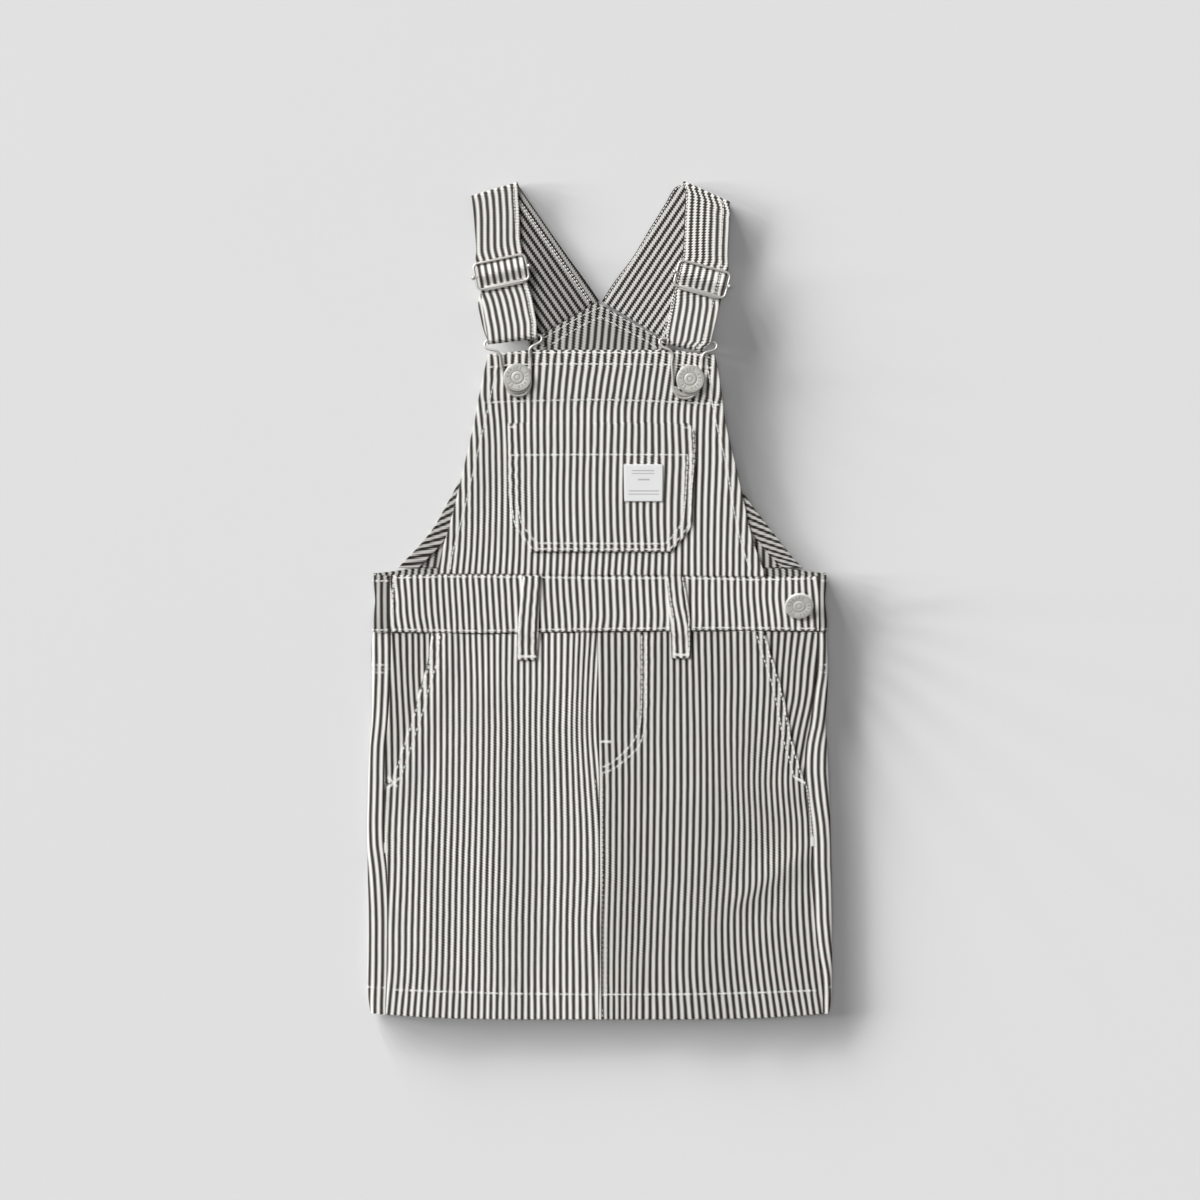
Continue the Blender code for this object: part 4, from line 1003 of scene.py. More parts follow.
def band_gather(x, y):
    """Short puckers along both rows of the band."""
    upper = 0.18 * np.sin(x / 1.9 + 1.2 * np.sin(x / 11.0)) * bell(y - 15.0, 4.5)
    lower = 0.18 * np.sin(x / 2.1 + 1.5 * np.sin(x / 8.0)) * bell(y + 18.0, 4.5)
    return upper + lower


across = BAND_LEFT_SEAM + SEAM + spread(BAND_RIGHT_SEAM - BAND_LEFT_SEAM - 2 * SEAM)
share = spread(BAND_HEIGHT) / BAND_HEIGHT
x = np.repeat(across[None, :], len(share), axis=0)
y = lerp(BAND("bottom", x), BAND("top", x), share[:, None])
lay("waistband_front", x, y, band_under, BAND_WALL, stripes(BAND_RUN, x, y), BAND_STITCHES, band_gather)
for line in BAND_STITCHES:
    sew_flat("band_thread", line, top_of(band_under, BAND_WALL))

share = spread(BACK_BAND_HEIGHT, 2.0) / BACK_BAND_HEIGHT
level = lerp(WAIST_SEAM_Y, SIDE_BAND_TOP, share)


def round_band(x, z):
    """Heights in plan round the band, which stands higher in the middle of the back."""
    fall = ease((np.abs(x) - 112.0) / 28.0)
    side_top = lerp(BACK_BAND_TOP, SIDE_BAND_TOP, fall)
    top = lerp(side_top, FLANGE_BAND_TOP, ease(z / (BAND_REST + BAND_WALL)))
    return lerp(BAND("bottom", x), top, share[:, None])


seams = np.full_like(level, BAND_LEFT_SEAM), np.full_like(level, BAND_RIGHT_SEAM)
folds = BAND_FOLDS("left", level), BAND_FOLDS("right", level)
band = wrap("waistband_back", level, seams, folds, BAND_REST + BAND_WALL, BAND_WALL, round_band)
sew_round("band_thread", band, 16.4)
sew_round("band_thread", band, -17.4)

# %% Belt loops
def loop_under(x, y):
    """The loops lie over the band and are sewn down on the skirt below it."""
    over = ease((y + 25.0) / 5.0)
    on_band = band_under(x, np.maximum(y, WAIST_SEAM_Y)) + BAND_WALL + GAP
    return lerp(skirt_under(x, y) + WALL + GAP, on_band, over)


loop_top = top_of(loop_under, WALL)
for side, table, run, low, insides in (
    ("left", LEFT_LOOP, LEFT_LOOP_RUN, -36.5, (0.9, -2.9)),
    ("right", RIGHT_LOOP, RIGHT_LOOP_RUN, -35.5, (2.2, -1.0)),
):
    x, y = edge_grid(table, low, 15.6, 0.9)
    rows = [edge_line(table, edge, inside, low + 1, 15) for edge, inside in zip(("left", "right"), insides)]
    lay("belt_loop_" + side, x, y, loop_under, WALL, stripes(run, x, y), rows)
    for line in rows:
        sew_flat("loop_thread", line, loop_top)
    left, right = float(table("left", low + 2)), float(table("right", low + 2))
    bartack("loop_thread", left + 1.2, low + 2.2, right - 1.2, low + 2.2, loop_top)

# %% [markdown]
# ## The bib, its pocket and the label

# %% Bib
BIB_STITCHES = [
    [(-67, 151.8), (-50, 153.4), (0, 153.6), (50, 153.2), (68, 150.6)],
    [(-69, 144.6), (-50, 146.3), (0, 146.6), (50, 146.0), (69.5, 144.0)],
    [(-74, 122.6), (-50, 123.6), (0, 124.5), (50, 123.0), (74, 121.4)],
    [(-93, 19), (-91.5, 30), (-86.8, 47), (-82.8, 63), (-79.4, 77)]
    + [(-76.4, 90), (-72.6, 106), (-69.0, 122), (-66, 136), (-64, 146)],
    [(93, 18), (90.2, 26), (86, 40), (83, 54), (80.6, 67), (78.6, 80)]
    + [(75.2, 95), (72, 108), (69.2, 122), (67.6, 136), (66, 146)],
]
BIB_LOW, BIB_HIGH = 16.0, 152.5
x, y = edge_grid(BIB, BIB_LOW, BIB_HIGH)
low_seam = BAND("top", x) + SEAM
top_edge = BIB_TOP_Y - 2.8 * ease((np.abs(x) - 40.0) / 32.0)
level = (y - BIB_LOW) / (BIB_HIGH - BIB_LOW)
y = y + (low_seam - BIB_LOW) * (1 - ease(level * 12.0)) + (top_edge - BIB_HIGH) * ease(1 - (1 - level) * 12.0)


def bib_gather(x, y):
    """Puckers where the bib meets the band and round its hem."""
    return 0.10 * np.sin(x / 2.3 + 1.1 * np.sin(x / 9.0)) * (bell(y - 17.0, 6.0) + bell(y - 124.0, 3.5))


lay("bib_front", x, y, bib_under, bib_wall, stripes(BIB_RUN, x, y), BIB_STITCHES, bib_gather)
for line in BIB_STITCHES:
    sew_flat("bib_thread", line, top_of(bib_under, bib_wall))

# %% Bib pocket
POCKET_STITCHES = [
    [(-56.0, 90.2), (-20, 90.5), (20, 90.5), (57.4, 90.4)],
    [(-56.2, 107), (-56.0, 85), (-55.9, 70), (-54.4, 56)]
    + [(-52.6, 46.8), (-48.6, 41), (-44.0, 35), (-42, 32.2)],
    [(-52.4, 90), (-52.2, 70), (-50.8, 57), (-49.0, 48.4), (-45.6, 43.2), (-41.0, 37.4), (-38.6, 35.8)],
    [(-38.6, 35.8), (0, 35.6), (40, 35.4)],
    [(-42, 32.2), (0, 32.0), (43.2, 31.9)],
    [(57.0, 107), (57.9, 94), (57.5, 82), (56.5, 70), (55.7, 56)]
    + [(54.3, 47.2), (50.8, 41.6), (45.6, 35.4), (43.2, 31.9)],
    [(53.8, 90), (53.2, 76), (52.2, 60), (50.8, 49.6), (47.6, 44.2), (43.2, 38.6), (40, 35.4)],
]


def pocket_under(x, y):
    """Underside of the bib pocket."""
    return bib_under(x, y) + WALL + GAP


pocket_top = top_of(pocket_under, WALL)
x, y = edge_grid(POCKET, 30.5, 110.0)
lay("bib_pocket", x, y, pocket_under, WALL, stripes(POCKET_RUN, x, y), POCKET_STITCHES)
for line in POCKET_STITCHES:
    sew_flat("pocket_thread", line, pocket_top)
bartack("pocket_thread", -56.4, 107.6, -52.0, 107.6, pocket_top, 1)
bartack("pocket_thread", 51.0, 107.2, 55.0, 107.2, pocket_top, 1)

# %% Label
LABEL_MIDDLE_X = 26.5
LABEL_WIDTH = 24.0


def label_under(x, y):
    """Underside of the label on the pocket."""
    return pocket_under(x, y) + WALL + GAP


x, y = edge_grid(LABEL, 61.5, 84.5, 0.8)
lay("pocket_label", x, y, label_under, LABEL_WALL, (x - LABEL_MIDDLE_X) / LABEL_WIDTH)

# %% [markdown]
# ## The back of the bib, its facings and the straps

# %% Back bib and facings
BACK_WIDTH = 170.0
V_STITCHES = [
    [(-43, 158.3), (-30, 166.0), (-12, 176.4), (0, 182.0)],
    [(0, 182.0), (14, 174.8), (28, 167.4), (40, 159.6)],
    [(-41, 152.5), (-30, 159.5), (-12, 170.4), (0, 176.0)],
    [(0, 176.0), (14, 168.8), (28, 161.4), (38, 154.5)],
]


def level_at(height):
    """An underside that lies level."""
    return lambda x, y: np.full_like(x, height)


y = ARMHOLE_LOW + spread(BACK_SHOULDER_Y - ARMHOLE_LOW, 1.6)
share = spread(BACK_WIDTH, 1.6) / BACK_WIDTH
x = lerp(ARMHOLE("left", y)[:, None], ARMHOLE("right", y)[:, None], share[None, :])
raised = ease((y - NECK_RISE_FROM_Y) / (BACK_SHOULDER_Y - NECK_RISE_FROM_Y))
peak = 1.0 - np.abs(2.0 * share - 1.0)
y = y[:, None] + (BACK_NECK_Y - BACK_SHOULDER_Y) * peak[None, :] * raised[:, None]
numbers = stripes(BACK_BIB_RUN, x, y)
lay("back_bib", x, y, level_at(UNDER_LIFT), WALL - UNDER_LIFT, numbers, V_STITCHES)
for line in V_STITCHES:
    sew_flat("back_bib_thread", line, level_at(WALL - SUNK), width=0.24)

FACING_RUN = {"left": LEFT_FACING_RUN, "right": RIGHT_FACING_RUN}
for side, sign in SIDES:
    y = ARMHOLE_LOW + spread(FACING_TOP_Y - ARMHOLE_LOW)
    x, y = grid_between(ARMHOLE(side, y), ARMHOLE(side, y) - sign * FACING_WIDTH, y)
    lay("armhole_facing_" + side, x, y, level_at(WALL + GAP), FACING_WALL, stripes(FACING_RUN[side], y, x))

# %% Straps
FLAT = STRAP_WALL / 2
SHOULDER_TURN = 1.2
WIRE = 1.6
CLIP_TURN = WIRE / 2 + GAP + STRAP_WALL / 2
CLIP_BAR_Z = FLAT + STRAP_WALL + GAP + CLIP_TURN
SLIDER_HALF_WIDTH = 16.3
SLIDER_HALF_HEIGHT = 8.2
SLIDER_TOP_Z = FLAT + STRAP_WALL + GAP + STRAP_WALL / 2 + GAP + WIRE / 2
SLIDER_FOOT_Z = 5.7

# Each row is a section: left edge x and y, right edge x and y, height of the middle, and how far
# from the inner edge the first dark stripe runs.
STRAP_ROWS = {
    "left": {
        "back": [
            (-44.8, 160.7, -0.7, 185.9, FLAT, 0.8),
            (-50.0, 177.0, -9.0, 198.0, FLAT, 0.8),
            (-57.0, 195.0, -18.9, 211.5, FLAT, 0.8),
            (-64.0, 213.0, -30.9, 228.5, FLAT, 0.8),
            (-71.0, 230.0, -42.0, 244.5, FLAT, 0.8),
            (-76.6, 243.5, -48.9, 254.6, FLAT, 0.6),
        ],
        "shoulder": (-80.2, 251.0, -51.4, 259.7),
        "above": [
            (-79.2, 245.0, -51.0, 253.0, 3.0, -0.75),
            (-78.3, 236.0, -50.4, 243.5, 2.7, -0.7),
            (-77.6, 227.0, -49.8, 233.5, 2.5, -0.3),
            (-77.0, 217.0, -49.2, 223.5, 2.4, 0.1),
        ],
        "below": [
            (-73.2, 184.5, -42.8, 189.5, 4.3, -0.5),
            (-71.9, 175.0, -40.9, 179.5, 5.0, -0.75),
            (-70.4, 166.0, -39.4, 170.5, 5.7, -0.75),
        ],
        "fold": (-69.5, 158.6, -39.1, 162.3),
        "tail": [
            (-71.6, 165.0, -40.6, 169.4, 2.4, -0.75),
            (-74.2, 175.0, -42.4, 179.5, 2.4, -0.75),
            (-75.8, 184.5, -44.4, 190.0, 2.4, -0.75),
        ],
        "slider": (-61.4, 203.5, math.radians(12)),
        "inner_edge": (-0.7, 185.9, -50.5, 258.5),
    },
    "right": {
        "back": [
            (0.7, 185.9, 41.2, 161.2, FLAT, 0.8),
            (8.8, 198.0, 48.0, 178.0, FLAT, 0.8),
            (20.0, 213.0, 55.2, 195.5, FLAT, 0.8),
            (30.2, 230.0, 62.4, 212.0, FLAT, 0.8),
            (40.2, 246.3, 70.4, 228.5, FLAT, 0.8),
            (46.6, 256.4, 77.0, 240.5, FLAT, 0.7),
        ],
        "shoulder": (51.6, 260.4, 80.6, 247.2),
        "above": [
            (52.6, 254.0, 80.3, 240.8, 3.0, 0.35),
            (52.2, 243.0, 79.8, 233.0, 2.7, 0.3),
            (51.7, 231.0, 79.3, 223.5, 2.5, 0.25),
            (51.3, 220.0, 78.8, 213.0, 2.4, 0.3),
        ],
        "below": [
            (44.8, 186.0, 73.2, 181.0, 4.3, 1.1),
            (42.9, 176.0, 71.4, 173.0, 5.0, 1.4),
            (41.3, 167.5, 69.4, 165.0, 5.8, 1.5),
            (40.6, 162.6, 67.6, 158.8, 6.0, 1.5),
        ],
        "fold": (40.8, 158.8, 63.4, 153.6),
        "tail": [
            (41.0, 166.5, 67.8, 164.6, 2.4, 1.5),
            (42.4, 176.0, 70.0, 173.0, 2.4, 1.5),
            (44.0, 186.0, 72.2, 181.0, 2.4, 1.5),
        ],
        "slider": (62.8, 199.0, math.radians(-15)),
        "inner_edge": (0.7, 185.9, 48.5, 258.5),
    },
}
FRONT_WEAVE = [
    (11.0, 2.4), (8.2, 2.55), (6.6, 3.0), (4.6, 4.2), (2.6, 5.6), (1.0, 6.5), (0.0, 6.65),
    (-1.0, 6.5), (-2.6, 5.8), (-4.2, 4.9), (-6.0, 4.25), (-8.2, 4.1), (-10.6, 4.15),
]
TAIL_WEAVE = [(-8.0, 2.4), (-4.0, 2.7)]
HALF_IN_SLIDER = 14.8


def turned_over(line, away, radius, low_z, high_z, upward, dark):
    """Sections of a strap round a fold line."""
    left_x, left_y, right_x, right_y = line
    length = math.hypot(right_x - left_x, right_y - left_y)
    out_x = -(right_y - left_y) / length * away
    out_y = (right_x - left_x) / length * away
    rows = []
    for i in range(9):
        angle = lerp(-math.pi / 2, math.pi / 2, i / 8) * (1 if upward else -1)
        reach = radius * (math.cos(angle) - 1.0) - STRAP_WALL / 2
        z = lerp(low_z, high_z, (math.sin(angle) + 1.0) / 2)
        shift_x, shift_y = out_x * reach, out_y * reach
        rows.append((left_x + shift_x, left_y + shift_y, right_x + shift_x, right_y + shift_y, z, dark))
    return rows


def placed(where, across, up):
    """A point given across and up a hard piece, as a plan point."""
    x, y, turn = where
    cosine, sine = math.cos(turn), math.sin(turn)
    return (x + across * cosine - up * sine, y + across * sine + up * cosine)


def in_slider(slider, weave, dark):
    """Sections of a strap inside a slider; the strap runs through it at a slight slant."""
    lean = math.copysign(1.0, slider[2])
    rows = []
    for up, z in weave:
        middle = lean * (0.4 + 0.03 * up)
        left = placed(slider, middle - HALF_IN_SLIDER, up)
        right = placed(slider, middle + HALF_IN_SLIDER, up)
        rows.append((*left, *right, z, dark))
    return rows


def eased_rows(rows, step=1.3):
    """More sections between the given ones, along curves that never overshoot them."""
    rows = np.array(rows, float)
    middle = np.column_stack(((rows[:, 0] + rows[:, 2]) / 2, (rows[:, 1] + rows[:, 3]) / 2, rows[:, 4]))
    lengths = np.linalg.norm(np.diff(middle, axis=0), axis=1)
    knots = np.concatenate(([0.0], np.cumsum(lengths)))
    slope = np.diff(rows, axis=0) / lengths[:, None]
    tangents = np.zeros_like(rows)
    tangents[0], tangents[-1] = slope[0], slope[-1]
    before, after = slope[:-1], slope[1:]
    w1 = (2 * lengths[1:] + lengths[:-1])[:, None]
    w2 = (lengths[1:] + 2 * lengths[:-1])[:, None]
    same = before * after > 0
    safe_before, safe_after = np.where(same, before, 1.0), np.where(same, after, 1.0)
    tangents[1:-1] = np.where(same, (w1 + w2) / (w1 / safe_before + w2 / safe_after), 0.0)
    found = []
    for i, length in enumerate(lengths):
        count = max(1, int(round(length / step)))
        t = (np.arange(count) / count)[:, None]
        found.append(cubic(rows[i], rows[i + 1], tangents[i] * length, tangents[i + 1] * length, t))
    return np.concatenate(found + [rows[-1:]])


# Rows of stitching, as distances from the left edge, or from the right edge where below nothing.
STRAP_SEAMS = {
    "left": {"back": (-4.6, -5.7), "front": (-1.7, -2.9)},
    "right": {"back": (0.9, -4.4), "front": (0.9, -4.2, -5.3)},
}
STRAP_WIDTH = 29.0
STRAP_STRIPE = 4.07
SLIDER_BAR_Z = (SLIDER_TOP_Z + SLIDER_FOOT_Z) / 2


def build_strap(side):
    """One strap from the back bib over the shoulder, down to the clip and back up behind."""
    parts = STRAP_ROWS[side]
    slider = parts["slider"]
    angles = [math.radians(degrees) for degrees in (-95, -65, -40)]
    hook = [(CLIP_TURN * math.cos(a), SLIDER_BAR_Z + CLIP_TURN * math.sin(a)) for a in angles]
    rows = list(parts["back"])
    dark = (parts["back"][-1][5] + parts["above"][0][5]) / 2
    rows += turned_over(parts["shoulder"], 1, SHOULDER_TURN, FLAT, FLAT + 2 * SHOULDER_TURN, True, dark)
    dark = (parts["above"][-1][5] + parts["below"][0][5]) / 2
    rows += parts["above"] + in_slider(slider, FRONT_WEAVE, dark) + parts["below"]
    dark = parts["below"][-1][5]
    low_z, high_z = CLIP_BAR_Z - CLIP_TURN, CLIP_BAR_Z + CLIP_TURN
    rows += turned_over(parts["fold"], -1, CLIP_TURN, low_z, high_z, False, dark)
    rows += parts["tail"] + in_slider(slider, TAIL_WEAVE + hook, dark)
    rows = eased_rows(rows)
    share = spread(STRAP_WIDTH, 1.2) / STRAP_WIDTH
    left = rows[:, (0, 1, 4)]
    right = rows[:, (2, 3, 4)]
    middle = left[:, None, :] + (right - left)[:, None, :] * share[None, :, None]
    along = np.gradient(middle[:, len(share) // 2], axis=0)
    across = right - left
    normal = np.cross(across, along)
    normal /= np.linalg.norm(normal, axis=1)[:, None]
    ahead = along * (1.0, 1.0, 0.0)
    ahead /= np.linalg.norm(ahead, axis=1)[:, None] + 1e-9
    square = np.abs(np.linalg.norm(across - (across * ahead).sum(axis=1)[:, None] * ahead, axis=1))
    flat_run = np.ones(len(rows), bool)
    shoulder = int(np.argmax(rows[:, 1] + rows[:, 3]))
    for turn in (shoulder, shoulder + int(np.argmin((rows[:, 1] + rows[:, 3])[shoulder:]))):
        flat_run[turn - 8:turn + 9] = False
    places = np.arange(len(rows))
    square = np.interp(places, places[flat_run], square[flat_run])
    inside = square[:, None] * share[None, :]
    steps = np.linalg.norm(np.diff(middle[:, len(share) // 2], axis=0), axis=1)
    run = np.concatenate(([0.0], np.cumsum(steps)))
    thick = STRAP_WALL / 2 - rim_drop(np.minimum(inside, square[:, None] - inside), 0.6)
    from_end = np.minimum(run, run[-1] - run)[:, None]
    thick = thick - rim_drop(np.broadcast_to(from_end, thick.shape), 0.5) * 0.8
    for offset in STRAP_SEAMS[side]["back"] + STRAP_SEAMS[side]["front"]:
        seam_at = offset if offset > 0 else square[:, None] + offset
        thick = thick - 0.10 * bell(inside - seam_at, 0.9)
    outer = middle - normal[:, None, :] * thick[:, :, None]
    inner = middle + normal[:, None, :] * thick[:, :, None]
    from_inner = square[:, None] - inside if side == "left" else inside
    x0, y0, x1, y1 = parts["inner_edge"]
    length = math.hypot(x1 - x0, y1 - y0)
    from_line = (middle[:, :, 0] - x0) * (y1 - y0) - (middle[:, :, 1] - y0) * (x1 - x0)
    from_line = np.abs(from_line) / length
    on_front = ease((places - (shoulder - 2)) / 4.0)[:, None]
    from_inner = lerp(from_line, from_inner, on_front)
    numbers = (from_inner - rows[:, 5:6]) / STRAP_STRIPE + 0.5
    along = np.repeat(run[:, None], len(share), axis=1)
    piece = cloth("strap_" + side, outer, inner, numbers, along, square.max(), run[-1])
    # The faces behind the shoulder take the second material, which paints shade on the strap's back run.
    for face in piece.data.polygons:
        behind = face.vertices[0] % (len(rows) * len(share)) < shoulder * len(share)
        face.material_index = 1 if behind else 0

    def strap_line(offset, first, last, face):
        """A row of stitching along one face of the strap, between two of its sections."""
        at = offset / square if offset > 0 else 1.0 + offset / square
        base = left + (right - left) * at[:, None]
        sign = 1.0 if face == "outer" else -1.0
        base = base - normal * sign * (STRAP_WALL / 2 - 0.16)
        part = slice(first, last)
        sew("strap_thread", base[part], -normal[part] * sign, pitch=2.3, length=1.8, width=0.34)

    return strap_line, int(np.argmax(rows[:, 1]))


strap_lines = {side: build_strap(side) for side, sign in SIDES}
for side, (strap_line, turn) in strap_lines.items():
    for offset in STRAP_SEAMS[side]["back"]:
        strap_line(offset, 2, turn - 3, "inner")
    for offset in STRAP_SEAMS[side]["front"]:
        strap_line(offset, turn + 3, -6, "outer")

# %% [markdown]
# ## The fittings
#
# Wire is drawn as a curve with a round section and made into a mesh; the buttons are turned.

# %% Wire fittings
CLIPS = {"left": (-54.3, 162.9, math.radians(7)), "right": (54.4, 161.4, math.radians(-4))}
CLIP_WIRE_Z = BIB_REST + BIB_TOP_WALL + GAP + WIRE / 2
CLIP_HALF = [
    (0.0, 0.0, 0.0), (7.5, 0.0, 0.0), (14.5, 0.0, 0.0), (16.9, 0.6, 0.0),
    (17.9, 2.5, 0.25), (16.9, 4.6, 0.55), (14.2, 5.9, 0.8), (11.3, 6.9, 1.0),
    (9.6, 8.6, 1.0), (9.1, 11.5, 1.0), (9.3, 15.0, 1.0), (8.8, 19.0, 1.0),
    (8.0, 25.0, 1.0), (7.4, 30.0, 1.0), (6.0, 33.4, 1.0), (3.3, 35.6, 1.0),
]
LIP_HALF = [(7.3, -30.6), (4.9, -33.0), (1.7, -34.3)]


def bent_wire(name, points):
    """A closed wire of round section through plan points, made into a mesh."""
    deselect()
    curve = bpy.data.curves.new(name, "CURVE")
    curve.dimensions = "3D"
    curve.bevel_depth = WIRE / 2 * MM
    curve.bevel_resolution = 3
    line = curve.splines.new("POLY")
    line.points.add(len(points) - 1)
    for point, place in zip(line.points, to_world(points)):
        point.co = (*place, 1.0)
    line.use_cyclic_u = True
    piece = put(name, curve)
    piece.select_set(True)
    bpy.context.view_layer.objects.active = piece
    bpy.ops.object.convert(target="MESH")
    piece = bpy.context.object
    piece.data.shade_smooth()
    piece.select_set(False)
    return piece


for side, clip in CLIPS.items():
    outline = [(a, -d, r) for a, d, r in CLIP_HALF] + [(0.0, -36.2, 1.0)]
    outline += [(-a, -d, r) for a, d, r in CLIP_HALF[:0:-1]]
    points = []
    for across, up, rise in smooth_line(outline, closed=True):
        z = lerp(CLIP_BAR_Z, CLIP_WIRE_Z, min(max(rise, 0), 1))
        points.append((*placed(clip, across, up), z))
    piece = bent_wire("clip_" + side + "_wire", points)
    lip = LIP_HALF + [(-a, u) for a, u in LIP_HALF[::-1]]
    lip += [(a * 0.86, u + 0.9) for a, u in lip[::-1]]
    points = [(*placed(clip, a, u), CLIP_WIRE_Z) for a, u in smooth_line(lip, closed=True)]
    inner_lip = bent_wire("clip_" + side + "_lip", points)
    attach(inner_lip, "root")
    made["clip_lip_" + side] = inner_lip
    stand_in("clip_" + side, piece)
print("a clip's wire passes", len(outline), "guide points")

# %% Sliders
SLIDER_CORNER = 3.0
KNOB_RADIUS = 1.5
PLATE_SIZE = (24.5, 3.0, 1.1)


def slider_path(slider):
    """The middle line of a slider's frame, which rises from its foot to its top."""
    points = []
    for quarter, (sign_x, sign_y) in enumerate(((1, 1), (-1, 1), (-1, -1), (1, -1))):
        for i in range(7):
            angle = math.radians(90.0 * quarter + 90.0 * i / 6)
            across = sign_x * (SLIDER_HALF_WIDTH - SLIDER_CORNER) + SLIDER_CORNER * math.cos(angle)
            up = sign_y * (SLIDER_HALF_HEIGHT - SLIDER_CORNER) + SLIDER_CORNER * math.sin(angle)
            z = lerp(SLIDER_FOOT_Z, SLIDER_TOP_Z, (up / SLIDER_HALF_HEIGHT + 1) / 2)
            points.append((*placed(slider, across, up), z))
    return points


for side, sign in SIDES:
    slider = STRAP_ROWS[side]["slider"]
    piece = bent_wire("slider_" + side + "_frame", slider_path(slider))
    stand_in("slider_" + side, piece)

    deselect()
    turn = slider[2]
    bpy.ops.mesh.primitive_cylinder_add(
        vertices=14,
        radius=WIRE / 2 * MM,
        depth=2 * SLIDER_HALF_WIDTH * MM,
        location=to_world([(*placed(slider, 0, 0), SLIDER_BAR_Z)])[0],
        rotation=(0, math.pi / 2, turn),
    )
    bar = bpy.context.object
    bar.name = "slider_" + side + "_bar"
    ends = []
    for across in (-SLIDER_HALF_WIDTH - 1.2, SLIDER_HALF_WIDTH + 1.2):
        place = to_world([(*placed(slider, across, 0), SLIDER_BAR_Z)])[0]
        bpy.ops.mesh.primitive_uv_sphere_add(
            segments=14, ring_count=9, radius=KNOB_RADIUS * MM, location=place
        )
        ends.append(bpy.context.object)
    place = to_world([(*placed(slider, 0, -SLIDER_HALF_HEIGHT), SLIDER_FOOT_Z)])[0]
    bpy.ops.mesh.primitive_cube_add(size=1.0, location=place, rotation=(0, 0, turn))
    plate = bpy.context.object
    plate.scale = [length * MM for length in PLATE_SIZE]
    bpy.ops.object.transform_apply(location=False, rotation=False, scale=True)
    bevel = plate.modifiers.new("bevel", "BEVEL")
    bevel.width = 0.4 * MM
    bevel.segments = 3
    bpy.ops.object.modifier_apply(modifier="bevel")
    deselect()
    for other in [bar, plate] + ends:
        other.select_set(True)
    bpy.context.view_layer.objects.active = bar
    bpy.ops.object.join()
    bpy.ops.object.transform_apply(location=True, rotation=True, scale=True)
    bpy.ops.object.shade_smooth_by_angle(angle=math.radians(40))
    bar.select_set(False)
    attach(bar, "root")
    made["slider_bar_" + side] = bar
print("a slider is", 2 * SLIDER_HALF_WIDTH + WIRE, "mm wide")

# %% Buttons
BUTTON_RADIUS = 8.75
BIB_CAP_Z = CLIP_WIRE_Z + WIRE / 2 + GAP
WAIST_CAP_Z = BAND_REST + BAND_WALL + 4.9
CAP_PROFILE = [
    (0.411, -4.0), (0.411, 0.0), (0.90, 0.0), (0.97, 0.15), (1.0, 0.5), (1.0, 1.05), (0.975, 1.4),
    (0.92, 1.60), (0.86, 1.66), (0.80, 1.66), (0.53, 1.66), (0.50, 1.58), (0.46, 1.54), (0.42, 1.60),
    (0.38, 1.74), (0.34, 1.80), (0.22, 1.84), (0.19, 1.76), (0.16, 1.84), (0.05, 1.86),
]


def turn_button(name, x, y, cap_z, foot, lean):
    """A cap on a shank: a disc drawn up ring by ring through the profile, then leant towards the hem."""
    deselect()
    share, height = CAP_PROFILE[0][0], foot
    bpy.ops.mesh.primitive_circle_add(
        vertices=72, radius=share * BUTTON_RADIUS * MM, fill_type="NGON", location=(0, 0, foot * MM)
    )
    piece = bpy.context.object
    piece.name = name
    bpy.ops.object.mode_set(mode="EDIT")
    for next_share, next_height in CAP_PROFILE[1:]:
        rise = (0, 0, (next_height - height) * MM)
        bpy.ops.mesh.extrude_region_move(TRANSFORM_OT_translate={"value": rise})
        grow = next_share / share
        bpy.ops.transform.resize(value=(grow, grow, 1.0), center_override=(0, 0, 0))
        share, height = next_share, next_height
    bpy.ops.mesh.select_all(action="SELECT")
    bpy.ops.mesh.normals_make_consistent(inside=False)
    bpy.ops.object.mode_set(mode="OBJECT")
    mesh = piece.data
    face_map = mesh.uv_layers.new(name="face")
    for corner in mesh.loops:
        point = mesh.vertices[corner.vertex_index].co / (BUTTON_RADIUS * MM)
        face_map.data[corner.index].uv = (point.x, point.y)
    piece.location = to_world([(x, y, cap_z)])[0] + (0, 0, foot * MM)
    piece.rotation_euler = (lean, 0, 0)
    bpy.ops.object.transform_apply(location=True, rotation=True, scale=False)
    bpy.ops.object.shade_smooth_by_angle(angle=math.radians(50))
    piece.select_set(False)
    return piece


for name, x, y, cap_z, foot, lean in (
    ("bib_button_left", -51.2, 138.0, BIB_CAP_Z, -2.1, 0.0),
    ("bib_button_right", 55.5, 137.0, BIB_CAP_Z, -2.1, 0.0),
    ("waist_button", 122.5, -1.5, WAIST_CAP_Z, -2.6, math.radians(28)),
):
    piece = turn_button(name + "_turned", x, y, cap_z, foot, lean)
    stand_in(name, piece)

threads = {name: finish_thread(name) for name in sewn}
for piece in threads.values():
    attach(piece, "root")
print("rows of thread joined into", len(threads), "pieces")

# %% [markdown]
# ## Materials

